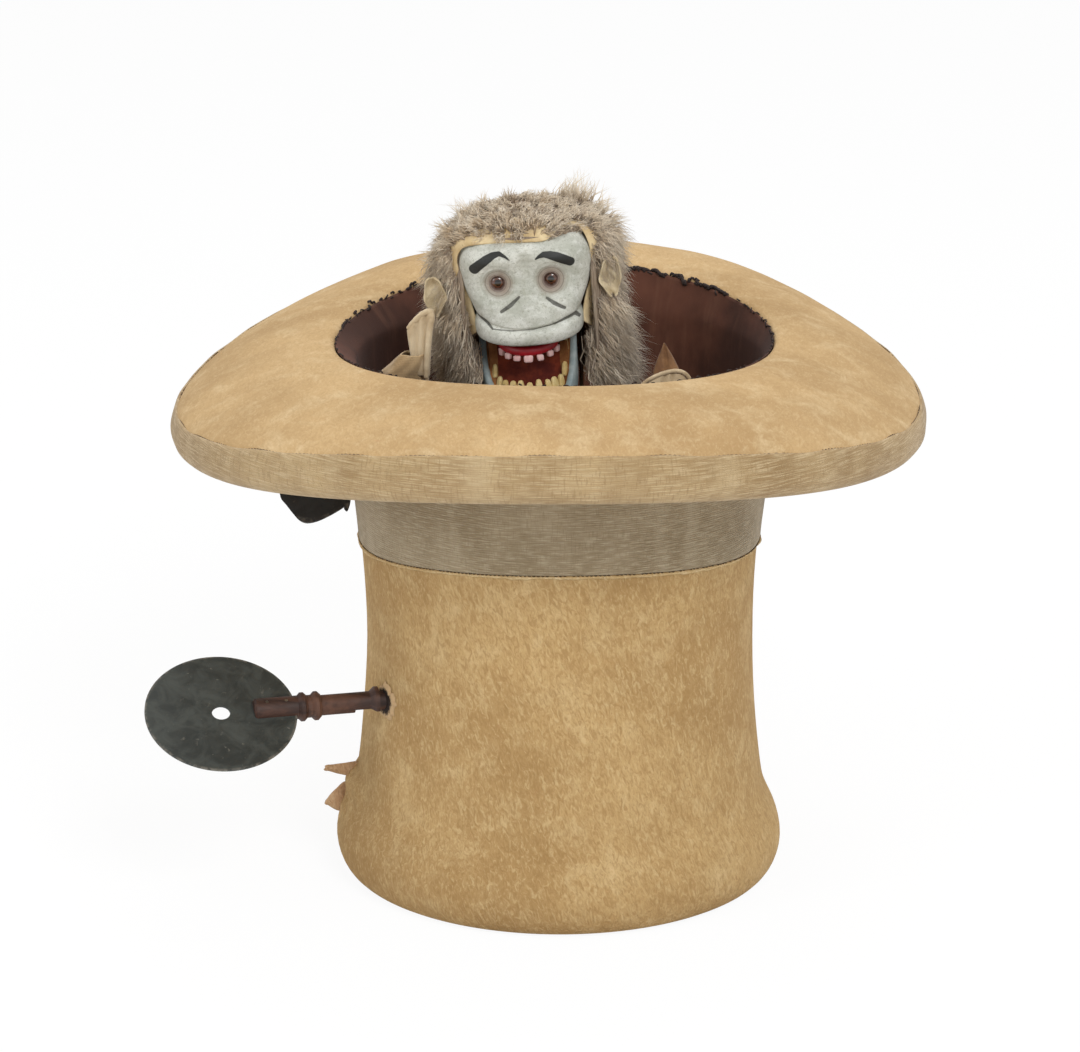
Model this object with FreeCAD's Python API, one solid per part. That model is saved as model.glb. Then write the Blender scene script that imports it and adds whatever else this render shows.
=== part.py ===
import FreeCAD, Part
import math
import os

V = FreeCAD.Vector

# A crank automaton: a plush top hat stands upside down on its flat crown, and a
# carved monkey looks out of it.  Millimetres and degrees, +Z up, the face looks
# along -Y.  The origin is the centre of the face that the hat stands on.

# ---- crown: card shell, plush cover and band ----
felt_thickness = 2.0
shell_wall = 3.0
shell_foot_radius = 150.0
shell_waist_radius = 139.0
shell_mouth_radius = 152.0
waist_height = 185.0
shell_top_height = 385.0
plush_thickness = 3.0
plush_foot_radius = 154.0
roll_radius = 165.3
roll_height = 23.0
roll_shoulder_radius = 160.5
roll_shoulder_height = 45.0
roll_end_height = 67.0
band_thickness = 1.5
band_low_height = 259.5
band_low_sag = 6.5

# ---- brim: a stuffed ring, higher at the front and back than at the sides ----
brim_sections = 32
opening_radius = 160.0
opening_rise = 15.0
opening_sag = 6.0
opening_shift = -4.0
opening_back_rise = 6.5
opening_side_rise = 1.5
brim_half_width = 268.0
brim_half_depth = 274.0
brim_shift = -8.0
brim_back_rise = 10.0
brim_side_rise = 2.5
seam_drop = 34.5
seam_sag = 21.5
brim_rise = 8.0
ribbon_height = 28.0
ribbon_height_swing = 4.0
ribbon_thickness = 1.5
ribbon_bulge = 3.0
cover_thickness = 2.5
neck_drop = 32.5
neck_sag = 7.5
belly_drop = 3.0
lining_thickness = 1.5

# ---- boards inside the hat ----
base_board_thickness = 12.0
board_clearance = 0.6
ledge_drop = 139.0
ledge_thickness = 12.0
ledge_width = 14.0
shoulder_board_thickness = 8.0
board_screw_radius = 2.0
board_screw_length = 16.0
board_screw_head_radius = 4.0
board_screw_head_height = 2.5
board_screw_count = 6

# ---- neck post, its foot bearing and the crown wheel ----
neck_x = -24.0
neck_y = -41.0
post_radius = 8.0
journal_radius = 6.0
journal_length = 50.0
running_clearance = 0.05
pedestal_radius = 14.0
pedestal_foot_radius = 20.0
pedestal_foot_height = 8.0
pedestal_top_height = 96.0
post_shoulder_gap = 0.3
bush_wall = 6.0
bush_flange_width = 6.0
bush_flange_height = 3.0

wheel_radius = 44.0
wheel_thickness = 10.0
wheel_hub_radius = 16.0
wheel_hub_height = 10.0
wheel_peg_count = 16
wheel_peg_circle = 36.0
peg_radius = 2.5
wheel_peg_reach = 14.0

# ---- crank shaft with its lantern pinion ----
shaft_height = 147.0
crank_azimuth = 194.0
shaft_radius = 4.0
shaft_start = 12.5
shaft_end = 166.0
lantern_peg_circle = 18.0
lantern_peg_count = 8
lantern_flange_radius = 20.8
lantern_flange_thickness = 4.0
lantern_start = 23.2
lantern_length = 24.8
inner_board_start = 15.6
inner_board_thickness = 7.0
outer_board_start = 80.0
outer_board_thickness = 8.0
bearing_board_width = 40.0
bearing_board_rise = 13.0
corner_block_size = 14.0
corner_block_depth = 12.0
crank_bush_wall = 3.0
crank_bush_flange_width = 2.5
crank_bush_flange_thickness = 2.0
crank_bush_protrusion = 1.0
collar_width = 7.0
collar_wall = 4.0
collar_gap = 0.3
cross_pin_radius = 1.25
shell_shaft_hole_radius = 7.0
plush_shaft_hole_radius = 9.5

# ---- crank disc and the split turned handle that grips it ----
disc_lean = 61.2
disc_radius = 54.5
disc_thickness = 1.5
disc_hole_radius = 6.5
disc_centre = 224.7
handle_start = 110.5
handle_back_start = 128.0
handle_end = 201.0
handle_radius = 7.4
handle_flare_radius = 10.5
handle_flare_length = 2.5
handle_tip_radius = 8.5
bead_radius = 10.5
bead_centres = (156.0, 166.0)
bead_half_width = 3.5
bead_valley_radius = 8.2
rivet_radius = 1.2
rivet_places = (178.0, 192.0)

# ---- head: skull block, mask, mouth, eyes, ears and wig ----
head_roll = 4.0
pivot_rise = 41.0
skull_setback = 9.0
skull_radius = 40.0
skull_base_rise = 18.0
skull_length = 55.0
snout_half_width = 24.0
snout_front_centre = 19.0
snout_drop = 7.0
snout_back = 17.0
post_seat_depth = 26.0
mask_back = 14.0
mask_seat_gap = 0.3
mask_front = 54.0
mask_length = 73.0
lip_half_width = 39.5
lip_rise = 18.0
lip_flare = 0.5
cheek_inset = 3.5
cheek_setback = 11.0
brow_half_width = 48.0
brow_rise = 20.0
brow_setback = 8.0
mask_top_inset = 2.0
mask_top_setback = 14.0
cut_margin = 1.0
muzzle_hollow_radius = 36.0
eye_spacing = 38.0
eye_rise = 34.0
eye_radius = 8.0
eye_front = 39.2
eye_depth = 10.0
gum_radius = 23.0
gum_width = 8.0
gum_centre = 24.0
gum_thickness = 7.0
upper_tooth_count = 8
tooth_radius = 2.4
upper_tooth_length = 5.0
upper_teeth_spread = 140.0
ear_half_width = 8.0
ear_half_height = 16.0
ear_thickness = 6.0
left_ear_reach = 66.0
right_ear_reach = 62.0
ear_rise = 22.0
leather_thickness = 4.0
leather_width = 11.0
wig_radius = 72.0
wig_drop = 50.0
wig_crown_thickness = 11.0
wig_hollow_radius = 54.0
wig_face_half_width = 53.0
wig_gap = 0.3

# ---- jaw, its pin, horn and teeth ----
jaw_outer_radius = 34.0
jaw_wall = 7.0
jaw_centre = 9.0
jaw_drop = 60.0
jaw_floor_thickness = 6.0
jaw_chin_height = 12.0
jaw_cheek_drop = 12.0
jaw_shoulder_drop = 2.0
jaw_travel = 24.0
jaw_pin_radius = 2.0
jaw_boss_radius = 8.0
lower_tooth_count = 9
lower_tooth_length = 6.0
lower_teeth_spread = 64.0
horn_thickness = 2.0
horn_radius = 5.5
horn_hole_radius = 2.5

# ---- jaw drive: lever with its paddle, throw collar and push wire ----
lever_azimuth = 158.1
lever_rise = 18.0
lever_travel = 18.0
finger_arm = 16.0
finger_radius = 2.0
lever_shaft_radius = 3.0
lever_start = 46.0
lever_hub_width = 4.0
lever_hub_radius = 6.0
throw_hub_radius = 14.0
throw_low_radius = 26.0
throw_top_radius = 45.0
throw_flange_thickness = 4.0
groove_clearance = 0.6
wire_radius = 1.5
wire_clearance = 3.5
lever_bracket_start = 56.0
lever_bracket_thickness = 10.0
lever_bracket_width = 24.0
lever_bracket_rise = 10.0
lever_bush_start = 120.0
lever_bush_length = 15.0
lever_bush_wall = 4.0
paddle_radius = 29.0
paddle_thickness = 1.5
paddle_centre = 166.5
paddle_lean = 40.0
paddle_clamp_radius = 5.0
paddle_clamp_start = 139.0
paddle_clamp_end = 160.0

# ---- arms and hands that hold the inside of the hat ----
left_wrist = (-99.0, -84.0)
left_wrist_rise = 15.0
left_elbow = (-106.0, -50.0)
right_wrist = (78.0, -92.0)
right_wrist_rise = 2.0
right_elbow = (90.0, -50.0)
sleeve_foot_radius = 17.0
cuff_radius = 11.0
left_hand_length = 43.0
left_hand_half_width = 11.0
right_hand_length = 30.0
right_hand_half_width = 16.0
hand_thickness = 9.0
hand_bevel = 2.5
soft_gap = 0.3


# ---------------------------------------------------------------- helpers

def cylinder(radius, start, end):
    """A round bar from one point to another."""
    return Part.makeCylinder(radius, (end - start).Length, start, end - start)


def box(low, high):
    """A block between two opposite corners."""
    size = high - low
    return Part.makeBox(size.x, size.y, size.z, low)


def turned(profile, base=V(0, 0, 0)):
    """A turned solid about the vertical through base; profile is (radius, height)."""
    points = [base + V(radius, 0, height) for radius, height in profile]
    face = Part.Face(Part.makePolygon(points + [points[0]]))
    return face.revolve(base, V(0, 0, 1), 360)


def prism(points, direction):
    """A straight solid with the given outline."""
    return Part.Face(Part.makePolygon(points + [points[0]])).extrude(direction)


def ring_loft(section, count=brim_sections):
    """A closed ring through flat sections; section(theta) gives each outline."""
    wires = []
    for index in range(count):
        points = section(2 * math.pi * index / count)
        wires.append(Part.makePolygon(points + [points[0]]))
    return Part.makeLoft(wires, True, True, True)


def ring_point(theta, half_width, half_depth, height, shift=0.0):
    """A point of an upright oval ring, with its centre shifted along X."""
    return V(shift + half_width * math.cos(theta), half_depth * math.sin(theta), height)


def swing(level, amount, theta):
    """A height that is lower at the sides and higher at the front and back."""
    return level - amount * math.cos(2 * theta)


def lift(back_rise, side_rise, theta):
    """How much higher the cocked brim stands toward its back, most at the right."""
    return (back_rise + side_rise * math.cos(theta)) * (1 + math.sin(theta))


def opening_level(theta):
    """Height of the brim's inner edge at an angle."""
    return (swing(opening_height, opening_sag, theta)
            + lift(opening_back_rise, opening_side_rise, theta))


def saddle_below(level, amount, radius):
    """A drum along Y under the surface that meets a round wall at swing()."""
    bend = radius ** 2 / (4 * amount)
    half_length = 2 * radius
    start = V(0, -half_length, level + amount - bend)
    return cylinder(bend, start, start + V(0, 2 * half_length, 0))


def placed(shape, origin, along, up):
    """Moves a shape from its own frame: its X goes along, its Z goes up."""
    side = up.cross(along)
    matrix = FreeCAD.Matrix(along.x, side.x, up.x, origin.x,
                            along.y, side.y, up.y, origin.y,
                            along.z, side.z, up.z, origin.z,
                            0, 0, 0, 1)
    moved = shape.copy()
    moved.Placement = FreeCAD.Placement(matrix).multiply(shape.Placement)
    return moved


def direction(azimuth):
    """A level unit vector."""
    angle = math.radians(azimuth)
    return V(math.cos(angle), math.sin(angle), 0)


def group(shapes):
    """Separate solids kept in one sub-part."""
    return Part.makeCompound(shapes)


# ---------------------------------------------------------------- shared places

def shell_radius(height):
    """Outside radius of the card shell at a height."""
    if height < waist_height:
        share = (height - felt_thickness) / (waist_height - felt_thickness)
        return shell_foot_radius + share * (shell_waist_radius - shell_foot_radius)
    share = (height - waist_height) / (shell_top_height - waist_height)
    return shell_waist_radius + share * (shell_mouth_radius - shell_waist_radius)


def shell_bore(height):
    """Inside radius of the card shell at a height."""
    return shell_radius(height) - shell_wall


def plush_radius(height):
    """Outside radius of the plush above its rolled foot."""
    return shell_radius(height) + plush_thickness


neck_foot = V(neck_x, neck_y, 0)
base_board_low = felt_thickness + shell_wall
base_board_top = base_board_low + base_board_thickness
ledge_height = shell_top_height - ledge_drop
shoulder_board_low = ledge_height + ledge_thickness
shoulder_board_top = shoulder_board_low + shoulder_board_thickness
lever_height = shoulder_board_top + lever_rise
opening_height = shell_top_height + opening_rise
seam_height = opening_height - seam_drop
neck_height = shell_top_height - neck_drop
neck_bush_radius = post_radius + bush_wall

crank_out = direction(crank_azimuth)
crank_origin = neck_foot + V(0, 0, shaft_height)
lean = math.radians(disc_lean)
level_side = V(0, 0, 1).cross(crank_out) * -1.0
disc_normal = V(0, 0, math.sin(lean)) - level_side * math.cos(lean)

lever_out = direction(lever_azimuth)
lever_origin = neck_foot + V(0, 0, lever_height)
paddle_tilt = math.radians(paddle_lean)
paddle_side = V(0, 0, 1).cross(lever_out)
paddle_normal = paddle_side * math.cos(paddle_tilt) + V(0, 0, math.sin(paddle_tilt))
finger_lift = finger_arm * math.sin(math.radians(lever_travel / 2))
finger_offset = finger_arm * math.cos(math.radians(lever_travel / 2))
slide_travel = 2 * finger_lift
groove_height = lever_height + finger_lift

horn_arm = finger_lift / math.sin(math.radians(jaw_travel / 2))
horn_offset = horn_arm * math.cos(math.radians(jaw_travel / 2))
pivot_height = shell_top_height + pivot_rise
pivot = neck_foot + V(0, 0, pivot_height)
skull_base_height = pivot_height + skull_base_rise
skull_top_height = skull_base_height + skull_length
post_seat_height = skull_base_height + post_seat_depth
snout_height = pivot_height - snout_drop
mask_top_height = snout_height + mask_length
eye_height = pivot_height + eye_rise
ear_height = pivot_height + ear_rise
left_hand_height = shell_top_height + left_wrist_rise
right_hand_height = shell_top_height + right_wrist_rise
wig_low_height = pivot_height - wig_drop
wig_top_height = skull_top_height + wig_crown_thickness
jaw_floor_height = pivot_height - jaw_drop
jaw_rim_height = jaw_floor_height + jaw_chin_height
jaw_front_height = pivot_height - jaw_cheek_drop
skull_axis = neck_foot + V(0, skull_setback, 0)
neck_top = neck_height + neck_sag
bore_radius = plush_radius(neck_top) + band_thickness + soft_gap
bore_corner = bore_radius / math.cos(math.pi / brim_sections)


def rolled(shape):
    """Cocks a piece of the head to one side about the jaw pivot."""
    tilted = shape.copy()
    tilted.rotate(pivot, V(0, 1, 0), -head_roll)
    return tilted


# ---------------------------------------------------------------- hat

def base_felt():
    return cylinder(shell_foot_radius, V(0, 0, 0), V(0, 0, felt_thickness))


def crown_shell():
    """Card shell with the crown's flat end as its floor."""
    profile = [(0, felt_thickness),
               (shell_foot_radius, felt_thickness),
               (shell_waist_radius, waist_height),
               (shell_mouth_radius, shell_top_height),
               (shell_mouth_radius - shell_wall, shell_top_height),
               (shell_waist_radius - shell_wall, waist_height),
               (shell_bore(base_board_low), base_board_low),
               (0, base_board_low)]
    hole = shaft_way(shell_shaft_hole_radius).fuse(lever_way())
    return turned(profile).cut(hole)


def shaft_way(radius):
    """The hole that the crank shaft passes the hat wall through."""
    end = crank_origin + crank_out * handle_back_start
    return cylinder(radius, crank_origin + crank_out * outer_board_start, end)


def lever_way():
    """The hole that the jaw lever's shaft passes the hat wall through."""
    start = lever_origin + lever_out * lever_bush_start
    radius = lever_shaft_radius + lever_bush_wall
    return cylinder(radius, start, lever_origin + lever_out * paddle_centre)


def crown_plush():
    """Plush skin, rolled thick round the foot of the hat."""
    profile = [(shell_foot_radius, felt_thickness),
               (plush_foot_radius, felt_thickness),
               (roll_radius, roll_height),
               (roll_shoulder_radius, roll_shoulder_height),
               (plush_radius(roll_end_height), roll_end_height),
               (plush_radius(waist_height), waist_height),
               (plush_radius(neck_top), neck_top),
               (shell_radius(neck_top), neck_top),
               (shell_waist_radius, waist_height)]
    skin = turned(profile).common(saddle_below(neck_height - soft_gap, neck_sag, bore_corner))
    hole = shaft_way(plush_shaft_hole_radius).fuse(lever_way())
    return skin.cut(hole)


def hat_band():
    """Grosgrain band whose lower edge dips at the sides, up to the brim."""
    low = band_low_height - 2 * band_low_sag
    profile = [(plush_radius(low), low),
               (plush_radius(low) + band_thickness, low),
               (plush_radius(neck_top) + band_thickness, neck_top),
               (plush_radius(neck_top), neck_top)]
    strip = turned(profile)
    strip = strip.common(saddle_below(neck_height - soft_gap, neck_sag, bore_corner))
    strip = strip.cut(saddle_below(band_low_height, band_low_sag, plush_radius(band_low_height)))
    return strip.cut(lever_way())


def brim_lines(theta):
    """The lines that the brim's covers, ribbon and core share, at one angle."""
    opening = opening_level(theta)
    seam = swing(seam_height, seam_sag, theta) + lift(brim_back_rise, brim_side_rise, theta)
    edge = swing(ribbon_height, ribbon_height_swing, theta)
    neck = swing(neck_height, neck_sag, theta)
    low = seam - edge
    middle_width = (opening_radius + brim_half_width) / 2
    middle_depth = (opening_radius + brim_half_depth) / 2
    middle_shift = (opening_shift + brim_shift) / 2
    top_middle = (opening + seam) / 2 + brim_rise
    low_middle = (neck + low) / 2 - belly_drop

    def edge_point(height, swell):
        return ring_point(theta, brim_half_width + swell, brim_half_depth + swell,
                          height, brim_shift)

    def middle_point(height):
        return ring_point(theta, middle_width, middle_depth, height, middle_shift)

    return {
        "mouth": ring_point(theta, opening_radius, opening_radius, opening, opening_shift),
        "mouth_core": ring_point(theta, opening_radius, opening_radius,
                                 opening - cover_thickness, opening_shift),
        "top": middle_point(top_middle),
        "top_core": middle_point(top_middle - cover_thickness),
        "seam": edge_point(seam, 0),
        "seam_low": edge_point(seam - cover_thickness, 0),
        "seam_core": edge_point(seam - cover_thickness, -ribbon_thickness),
        "bulge": edge_point(seam - edge / 2, ribbon_bulge),
        "bulge_core": edge_point(seam - edge / 2, ribbon_bulge - ribbon_thickness),
        "hem": edge_point(low, 0),
        "hem_high": edge_point(low + cover_thickness, 0),
        "hem_core": edge_point(low + cover_thickness, -ribbon_thickness),
        "belly": middle_point(low_middle),
        "belly_core": middle_point(low_middle + cover_thickness),
        "neck": ring_point(theta, bore_corner, bore_corner, neck),
        "neck_core": ring_point(theta, bore_corner, bore_corner, neck + cover_thickness),
        "bore": ring_point(theta, bore_corner, bore_corner, shell_top_height + soft_gap),
    }


def brim_ring(names):
    """A ring whose section runs through the named lines."""
    return ring_loft(lambda theta: [brim_lines(theta)[name] for name in names])


def brim_core():
    return brim_ring(["mouth_core", "top_core", "seam_core", "bulge_core", "hem_core",
                      "belly_core", "neck_core", "bore"])


def brim_top_cover():
    return brim_ring(["mouth", "top", "seam", "seam_low", "seam_core", "top_core",
                      "mouth_core"])


def brim_under_cover():
    return brim_ring(["hem", "belly", "neck", "neck_core", "belly_core", "hem_core",
                      "hem_high"])


def brim_ribbon():
    return brim_ring(["seam_low", "bulge", "hem_high", "hem_core", "bulge_core",
                      "seam_core"])


def lining():
    """Cloth lining from the shoulder board up over the shell's edge to the mouth."""
    low = shoulder_board_top + soft_gap

    def section(theta):
        mouth = opening_level(theta)
        outer = [(shell_bore(low) - soft_gap, low, 0.0),
                 (shell_bore(shell_top_height) - soft_gap, shell_top_height + soft_gap, 0.0),
                 (opening_radius - soft_gap, mouth - soft_gap, opening_shift)]
        inner = [(radius - lining_thickness, height, shift) for radius, height, shift in outer]
        return [ring_point(theta, radius, radius, height, shift)
                for radius, height, shift in outer + inner[::-1]]

    return ring_loft(section).cut(lever_way())


# ---------------------------------------------------------------- boards

def base_board():
    radius = shell_bore(base_board_top) - board_clearance
    return cylinder(radius, V(0, 0, base_board_low), V(0, 0, base_board_top))


def shoulder_ledge():
    """Batten ring glued inside the crown, under the shoulder board."""
    low = shell_bore(ledge_height)
    high = shell_bore(shoulder_board_low)
    return turned([(low - ledge_width, ledge_height),
                   (low, ledge_height),
                   (high, shoulder_board_low),
                   (low - ledge_width, shoulder_board_low)]).cut(screw_holes())


def screw_seats():
    circle = shell_bore(ledge_height) - ledge_width / 2
    step = 360.0 / board_screw_count
    return [direction(step * index) * circle + V(0, 0, shoulder_board_top)
            for index in range(board_screw_count)]


def screw_holes():
    return group([cylinder(board_screw_radius, seat, seat - V(0, 0, board_screw_length))
                  for seat in screw_seats()])


def board_screws():
    screws = []
    for seat in screw_seats():
        stem = cylinder(board_screw_radius, seat - V(0, 0, board_screw_length), seat)
        head = cylinder(board_screw_head_radius, seat, seat + V(0, 0, board_screw_head_height))
        screws.append(stem.fuse(head))
    return group(screws)


def shoulder_board():
    """Round board that carries the neck bush, the lever bracket and the sleeves."""
    radius = shell_bore(shoulder_board_low) - board_clearance
    board = cylinder(radius, V(0, 0, shoulder_board_low), V(0, 0, shoulder_board_top))
    bore = cylinder(neck_bush_radius, neck_foot, neck_foot + V(0, 0, shoulder_board_top + cut_margin))
    return board.cut(bore).cut(screw_holes())


def neck_bush():
    flange = neck_bush_radius + bush_flange_width
    bore = post_radius + running_clearance
    top = shoulder_board_top + bush_flange_height
    return turned([(bore, shoulder_board_low), (neck_bush_radius, shoulder_board_low),
                   (neck_bush_radius, shoulder_board_top), (flange, shoulder_board_top),
                   (flange, top), (bore, top)], neck_foot)


def neck_pedestal():
    """Turned foot bearing with a blind bore for the neck post's journal."""
    bore = journal_radius + running_clearance
    bore_low = pedestal_top_height - journal_length - post_shoulder_gap
    return turned([(0, base_board_top), (pedestal_foot_radius, base_board_top),
                   (pedestal_foot_radius, base_board_top + pedestal_foot_height),
                   (pedestal_radius, base_board_top + 2 * pedestal_foot_height),
                   (pedestal_radius, pedestal_top_height), (bore, pedestal_top_height),
                   (bore, bore_low), (0, bore_low)], neck_foot)


def bearing_board(start, thickness, bore):
    """Upright board across the crank shaft, in the crank's own frame."""
    half = bearing_board_width / 2
    low = base_board_top - shaft_height
    plate = box(V(start, -half, low), V(start + thickness, half, bearing_board_rise))
    return plate.cut(cylinder(bore, V(0, 0, 0), V(disc_centre, 0, 0)))


def on_crank(shape):
    """Places a level piece of the crank's bearings."""
    return placed(shape, crank_origin, crank_out, V(0, 0, 1))


def inner_bearing_board():
    board = bearing_board(inner_board_start, inner_board_thickness,
                          shaft_radius + running_clearance)
    foot = cylinder(pedestal_foot_radius + board_clearance,
                    V(0, 0, base_board_top - shaft_height),
                    V(0, 0, base_board_top + 2 * pedestal_foot_height - shaft_height))
    return on_crank(board.cut(foot))


def outer_bearing_board():
    bore = shaft_radius + running_clearance + crank_bush_wall
    return on_crank(bearing_board(outer_board_start, outer_board_thickness, bore))


def corner_blocks():
    """Glue blocks in the corners between the bearing boards and the base board."""
    low = base_board_top - shaft_height
    half = bearing_board_width / 2
    blocks = []
    for start in (inner_board_start + inner_board_thickness,
                  outer_board_start + outer_board_thickness):
        for side in (-half, half - corner_block_depth):
            outline = [V(start, side, low), V(start + corner_block_size, side, low),
                       V(start, side, low + corner_block_size)]
            blocks.append(prism(outline, V(0, corner_block_depth, 0)))
    return on_crank(group(blocks))


def crank_bush():
    bore = shaft_radius + running_clearance
    outer = bore + crank_bush_wall
    flange_start = outer_board_start + outer_board_thickness
    body = cylinder(outer, V(outer_board_start - crank_bush_protrusion, 0, 0),
                    V(flange_start, 0, 0))
    flange = cylinder(outer + crank_bush_flange_width, V(flange_start, 0, 0),
                      V(flange_start + crank_bush_flange_thickness, 0, 0))
    hole = cylinder(bore, V(0, 0, 0), V(disc_centre, 0, 0))
    return on_crank(body.fuse(flange).cut(hole))


# ---------------------------------------------------------------- crank

def on_disc(shape):
    """Places a piece of the crank that shares the disc's lean."""
    return placed(shape, crank_origin, crank_out, disc_normal)


def crank_shaft():
    shaft = cylinder(shaft_radius, V(shaft_start, 0, 0), V(shaft_end, 0, 0))
    return on_disc(shaft).cut(lantern_pin()).cut(collar_pin())


def crank_disc():
    plate = cylinder(disc_radius, V(disc_centre, 0, -disc_thickness / 2),
                     V(disc_centre, 0, disc_thickness / 2))
    hole = cylinder(disc_hole_radius, V(disc_centre, 0, -disc_thickness),
                    V(disc_centre, 0, disc_thickness))
    return on_disc(plate.cut(hole)).cut(handle_rivets())


def handle_outline(start):
    """Turned profile of the handle: a flare at the hat, two beads, a plain end."""
    if start < handle_back_start:
        path = [V(start, 0, 0), V(start, handle_flare_radius, 0),
                V(start + handle_flare_length, handle_flare_radius, 0),
                V(start + 2.5 * handle_flare_length, handle_radius, 0)]
    else:
        path = [V(start, 0, 0), V(start, handle_radius, 0)]
    path.append(V(bead_centres[0] - bead_half_width, handle_radius, 0))
    for centre in bead_centres:
        path += [V(centre - bead_half_width, bead_valley_radius, 0),
                 V(centre - bead_half_width / 3, bead_radius, 0),
                 V(centre + bead_half_width / 3, bead_radius, 0),
                 V(centre + bead_half_width, bead_valley_radius, 0)]
    path += [V(path[-1].x, handle_tip_radius, 0),
             V(handle_end - disc_thickness, handle_tip_radius, 0),
             V(handle_end, handle_tip_radius - disc_thickness, 0), V(handle_end, 0, 0)]
    return Part.makePolygon(path + [path[0]])


def handle_half(start, side):
    """Half of the split handle; side is 1 for the half that faces up."""
    half = Part.Face(handle_outline(start)).revolve(V(0, 0, 0), V(1, 0, 0), side * 180)
    bore = cylinder(shaft_radius + running_clearance, V(0, 0, 0), V(shaft_end, 0, 0))
    slot = cylinder(disc_radius + soft_gap, V(disc_centre, 0, -disc_thickness / 2),
                    V(disc_centre, 0, disc_thickness / 2))
    return on_disc(half.cut(bore).cut(slot)).cut(handle_rivets())


def handle_rivets():
    rivets = [cylinder(rivet_radius, V(place, 0, -handle_tip_radius),
                       V(place, 0, handle_tip_radius)) for place in rivet_places]
    return on_disc(group(rivets))


def lantern_flanges():
    """Two round end plates of the lantern pinion."""
    starts = (lantern_start, lantern_start + lantern_length - lantern_flange_thickness)
    plates = [cylinder(lantern_flange_radius, V(start, 0, 0),
                       V(start + lantern_flange_thickness, 0, 0)) for start in starts]
    plates = on_crank(group([plate.cut(crank_bore()) for plate in plates]))
    return plates.cut(lantern_pegs()).cut(lantern_pin())


def crank_bore():
    return cylinder(shaft_radius, V(0, 0, 0), V(disc_centre, 0, 0))


def lantern_pegs():
    """Pegs of the pinion; at rest one stands at the top, between two wheel pegs."""
    pegs = []
    for index in range(lantern_peg_count):
        angle = 2 * math.pi * index / lantern_peg_count
        side = V(0, math.sin(angle), math.cos(angle)) * lantern_peg_circle
        pegs.append(cylinder(peg_radius, side + V(lantern_start, 0, 0),
                             side + V(lantern_start + lantern_length, 0, 0)))
    return on_crank(group(pegs))


def cross_pin(place, reach):
    """A pin across the crank shaft."""
    return on_disc(cylinder(cross_pin_radius, V(place, -reach, 0), V(place, reach, 0)))


def lantern_pin():
    place = lantern_start + lantern_length - lantern_flange_thickness / 2
    return cross_pin(place, lantern_peg_circle - 2 * peg_radius)


def collar_pin():
    place = outer_board_start - crank_bush_protrusion - collar_gap - collar_width / 2
    return cross_pin(place, shaft_radius + collar_wall)


def shaft_collar():
    end = outer_board_start - crank_bush_protrusion - collar_gap
    ring = cylinder(shaft_radius + collar_wall, V(end - collar_width, 0, 0), V(end, 0, 0))
    return on_disc(ring.cut(crank_bore())).cut(collar_pin())


# ---------------------------------------------------------------- neck post and wheel

wheel_low = shaft_height + lantern_flange_radius + 2 * peg_radius - running_clearance
wheel_top = wheel_low + wheel_thickness


def neck_post():
    """Stepped post: journal in the pedestal, body up into the skull."""
    shoulder = pedestal_top_height + post_shoulder_gap
    post = turned([(0, pedestal_top_height - journal_length),
                   (journal_radius, pedestal_top_height - journal_length),
                   (journal_radius, shoulder), (post_radius, shoulder),
                   (post_radius, post_seat_height), (0, post_seat_height)], neck_foot)
    return post.cut(wheel_pin()).cut(rolled(straight_jaw_pin()))


def crown_wheel():
    """Wooden wheel with a hub above it and holes for its pegs."""
    hub_top = wheel_top + wheel_hub_height
    wheel = turned([(post_radius, wheel_low), (wheel_radius, wheel_low),
                    (wheel_radius, wheel_top), (wheel_hub_radius, wheel_top),
                    (wheel_hub_radius, hub_top), (post_radius, hub_top)], neck_foot)
    return wheel.cut(wheel_pegs()).cut(wheel_pin())


def wheel_pegs():
    """Pegs that hang from the wheel between the pegs of the lantern pinion."""
    step = 360.0 / wheel_peg_count
    tip = shaft_height + wheel_peg_reach
    pegs = []
    for index in range(wheel_peg_count):
        place = neck_foot + direction(crank_azimuth + step * (index + 0.5)) * wheel_peg_circle
        pegs.append(cylinder(peg_radius, place + V(0, 0, tip), place + V(0, 0, wheel_top)))
    return group(pegs)


def wheel_pin():
    height = wheel_top + wheel_hub_height / 2
    across = direction(crank_azimuth + 90) * wheel_hub_radius
    centre = neck_foot + V(0, 0, height)
    return cylinder(cross_pin_radius, centre - across, centre + across)


# ---------------------------------------------------------------- head

mask_top_half_width = brow_half_width - mask_top_inset
mask_top_front = mask_front - mask_top_setback


def half_round(half_width, back, front, height):
    """Level outline of a face: a straight back and one arc to the front."""
    left = neck_foot + V(-half_width, -back, height)
    right = neck_foot + V(half_width, -back, height)
    nose = neck_foot + V(0, -front, height)
    return Part.Wire([Part.Arc(left, nose, right).toShape(),
                      Part.LineSegment(right, left).toShape()])


def skull(grow):
    """Round wooden skull, narrowing to the crown."""
    radius = skull_radius + grow
    base = skull_base_height - grow
    top = skull_top_height + grow
    rise = top - base
    return turned([(0, base), (radius * 0.9, base), (radius, base + rise * 0.3),
                   (radius * 0.93, base + rise * 0.6), (radius * 0.7, base + rise * 0.84),
                   (radius * 0.38, base + rise * 0.96), (0, top)], skull_axis)


def snout():
    """The palate block under the skull, between the cheeks of the jaw."""
    front = neck_foot + V(0, -snout_front_centre, 0)
    low = V(0, 0, snout_height)
    high = V(0, 0, skull_base_height)
    back = box(front + V(-snout_half_width, 0, 0) + low,
               neck_foot + V(snout_half_width, snout_back, 0) + high)
    return back.fuse(cylinder(snout_half_width, front + low, front + high))


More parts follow.
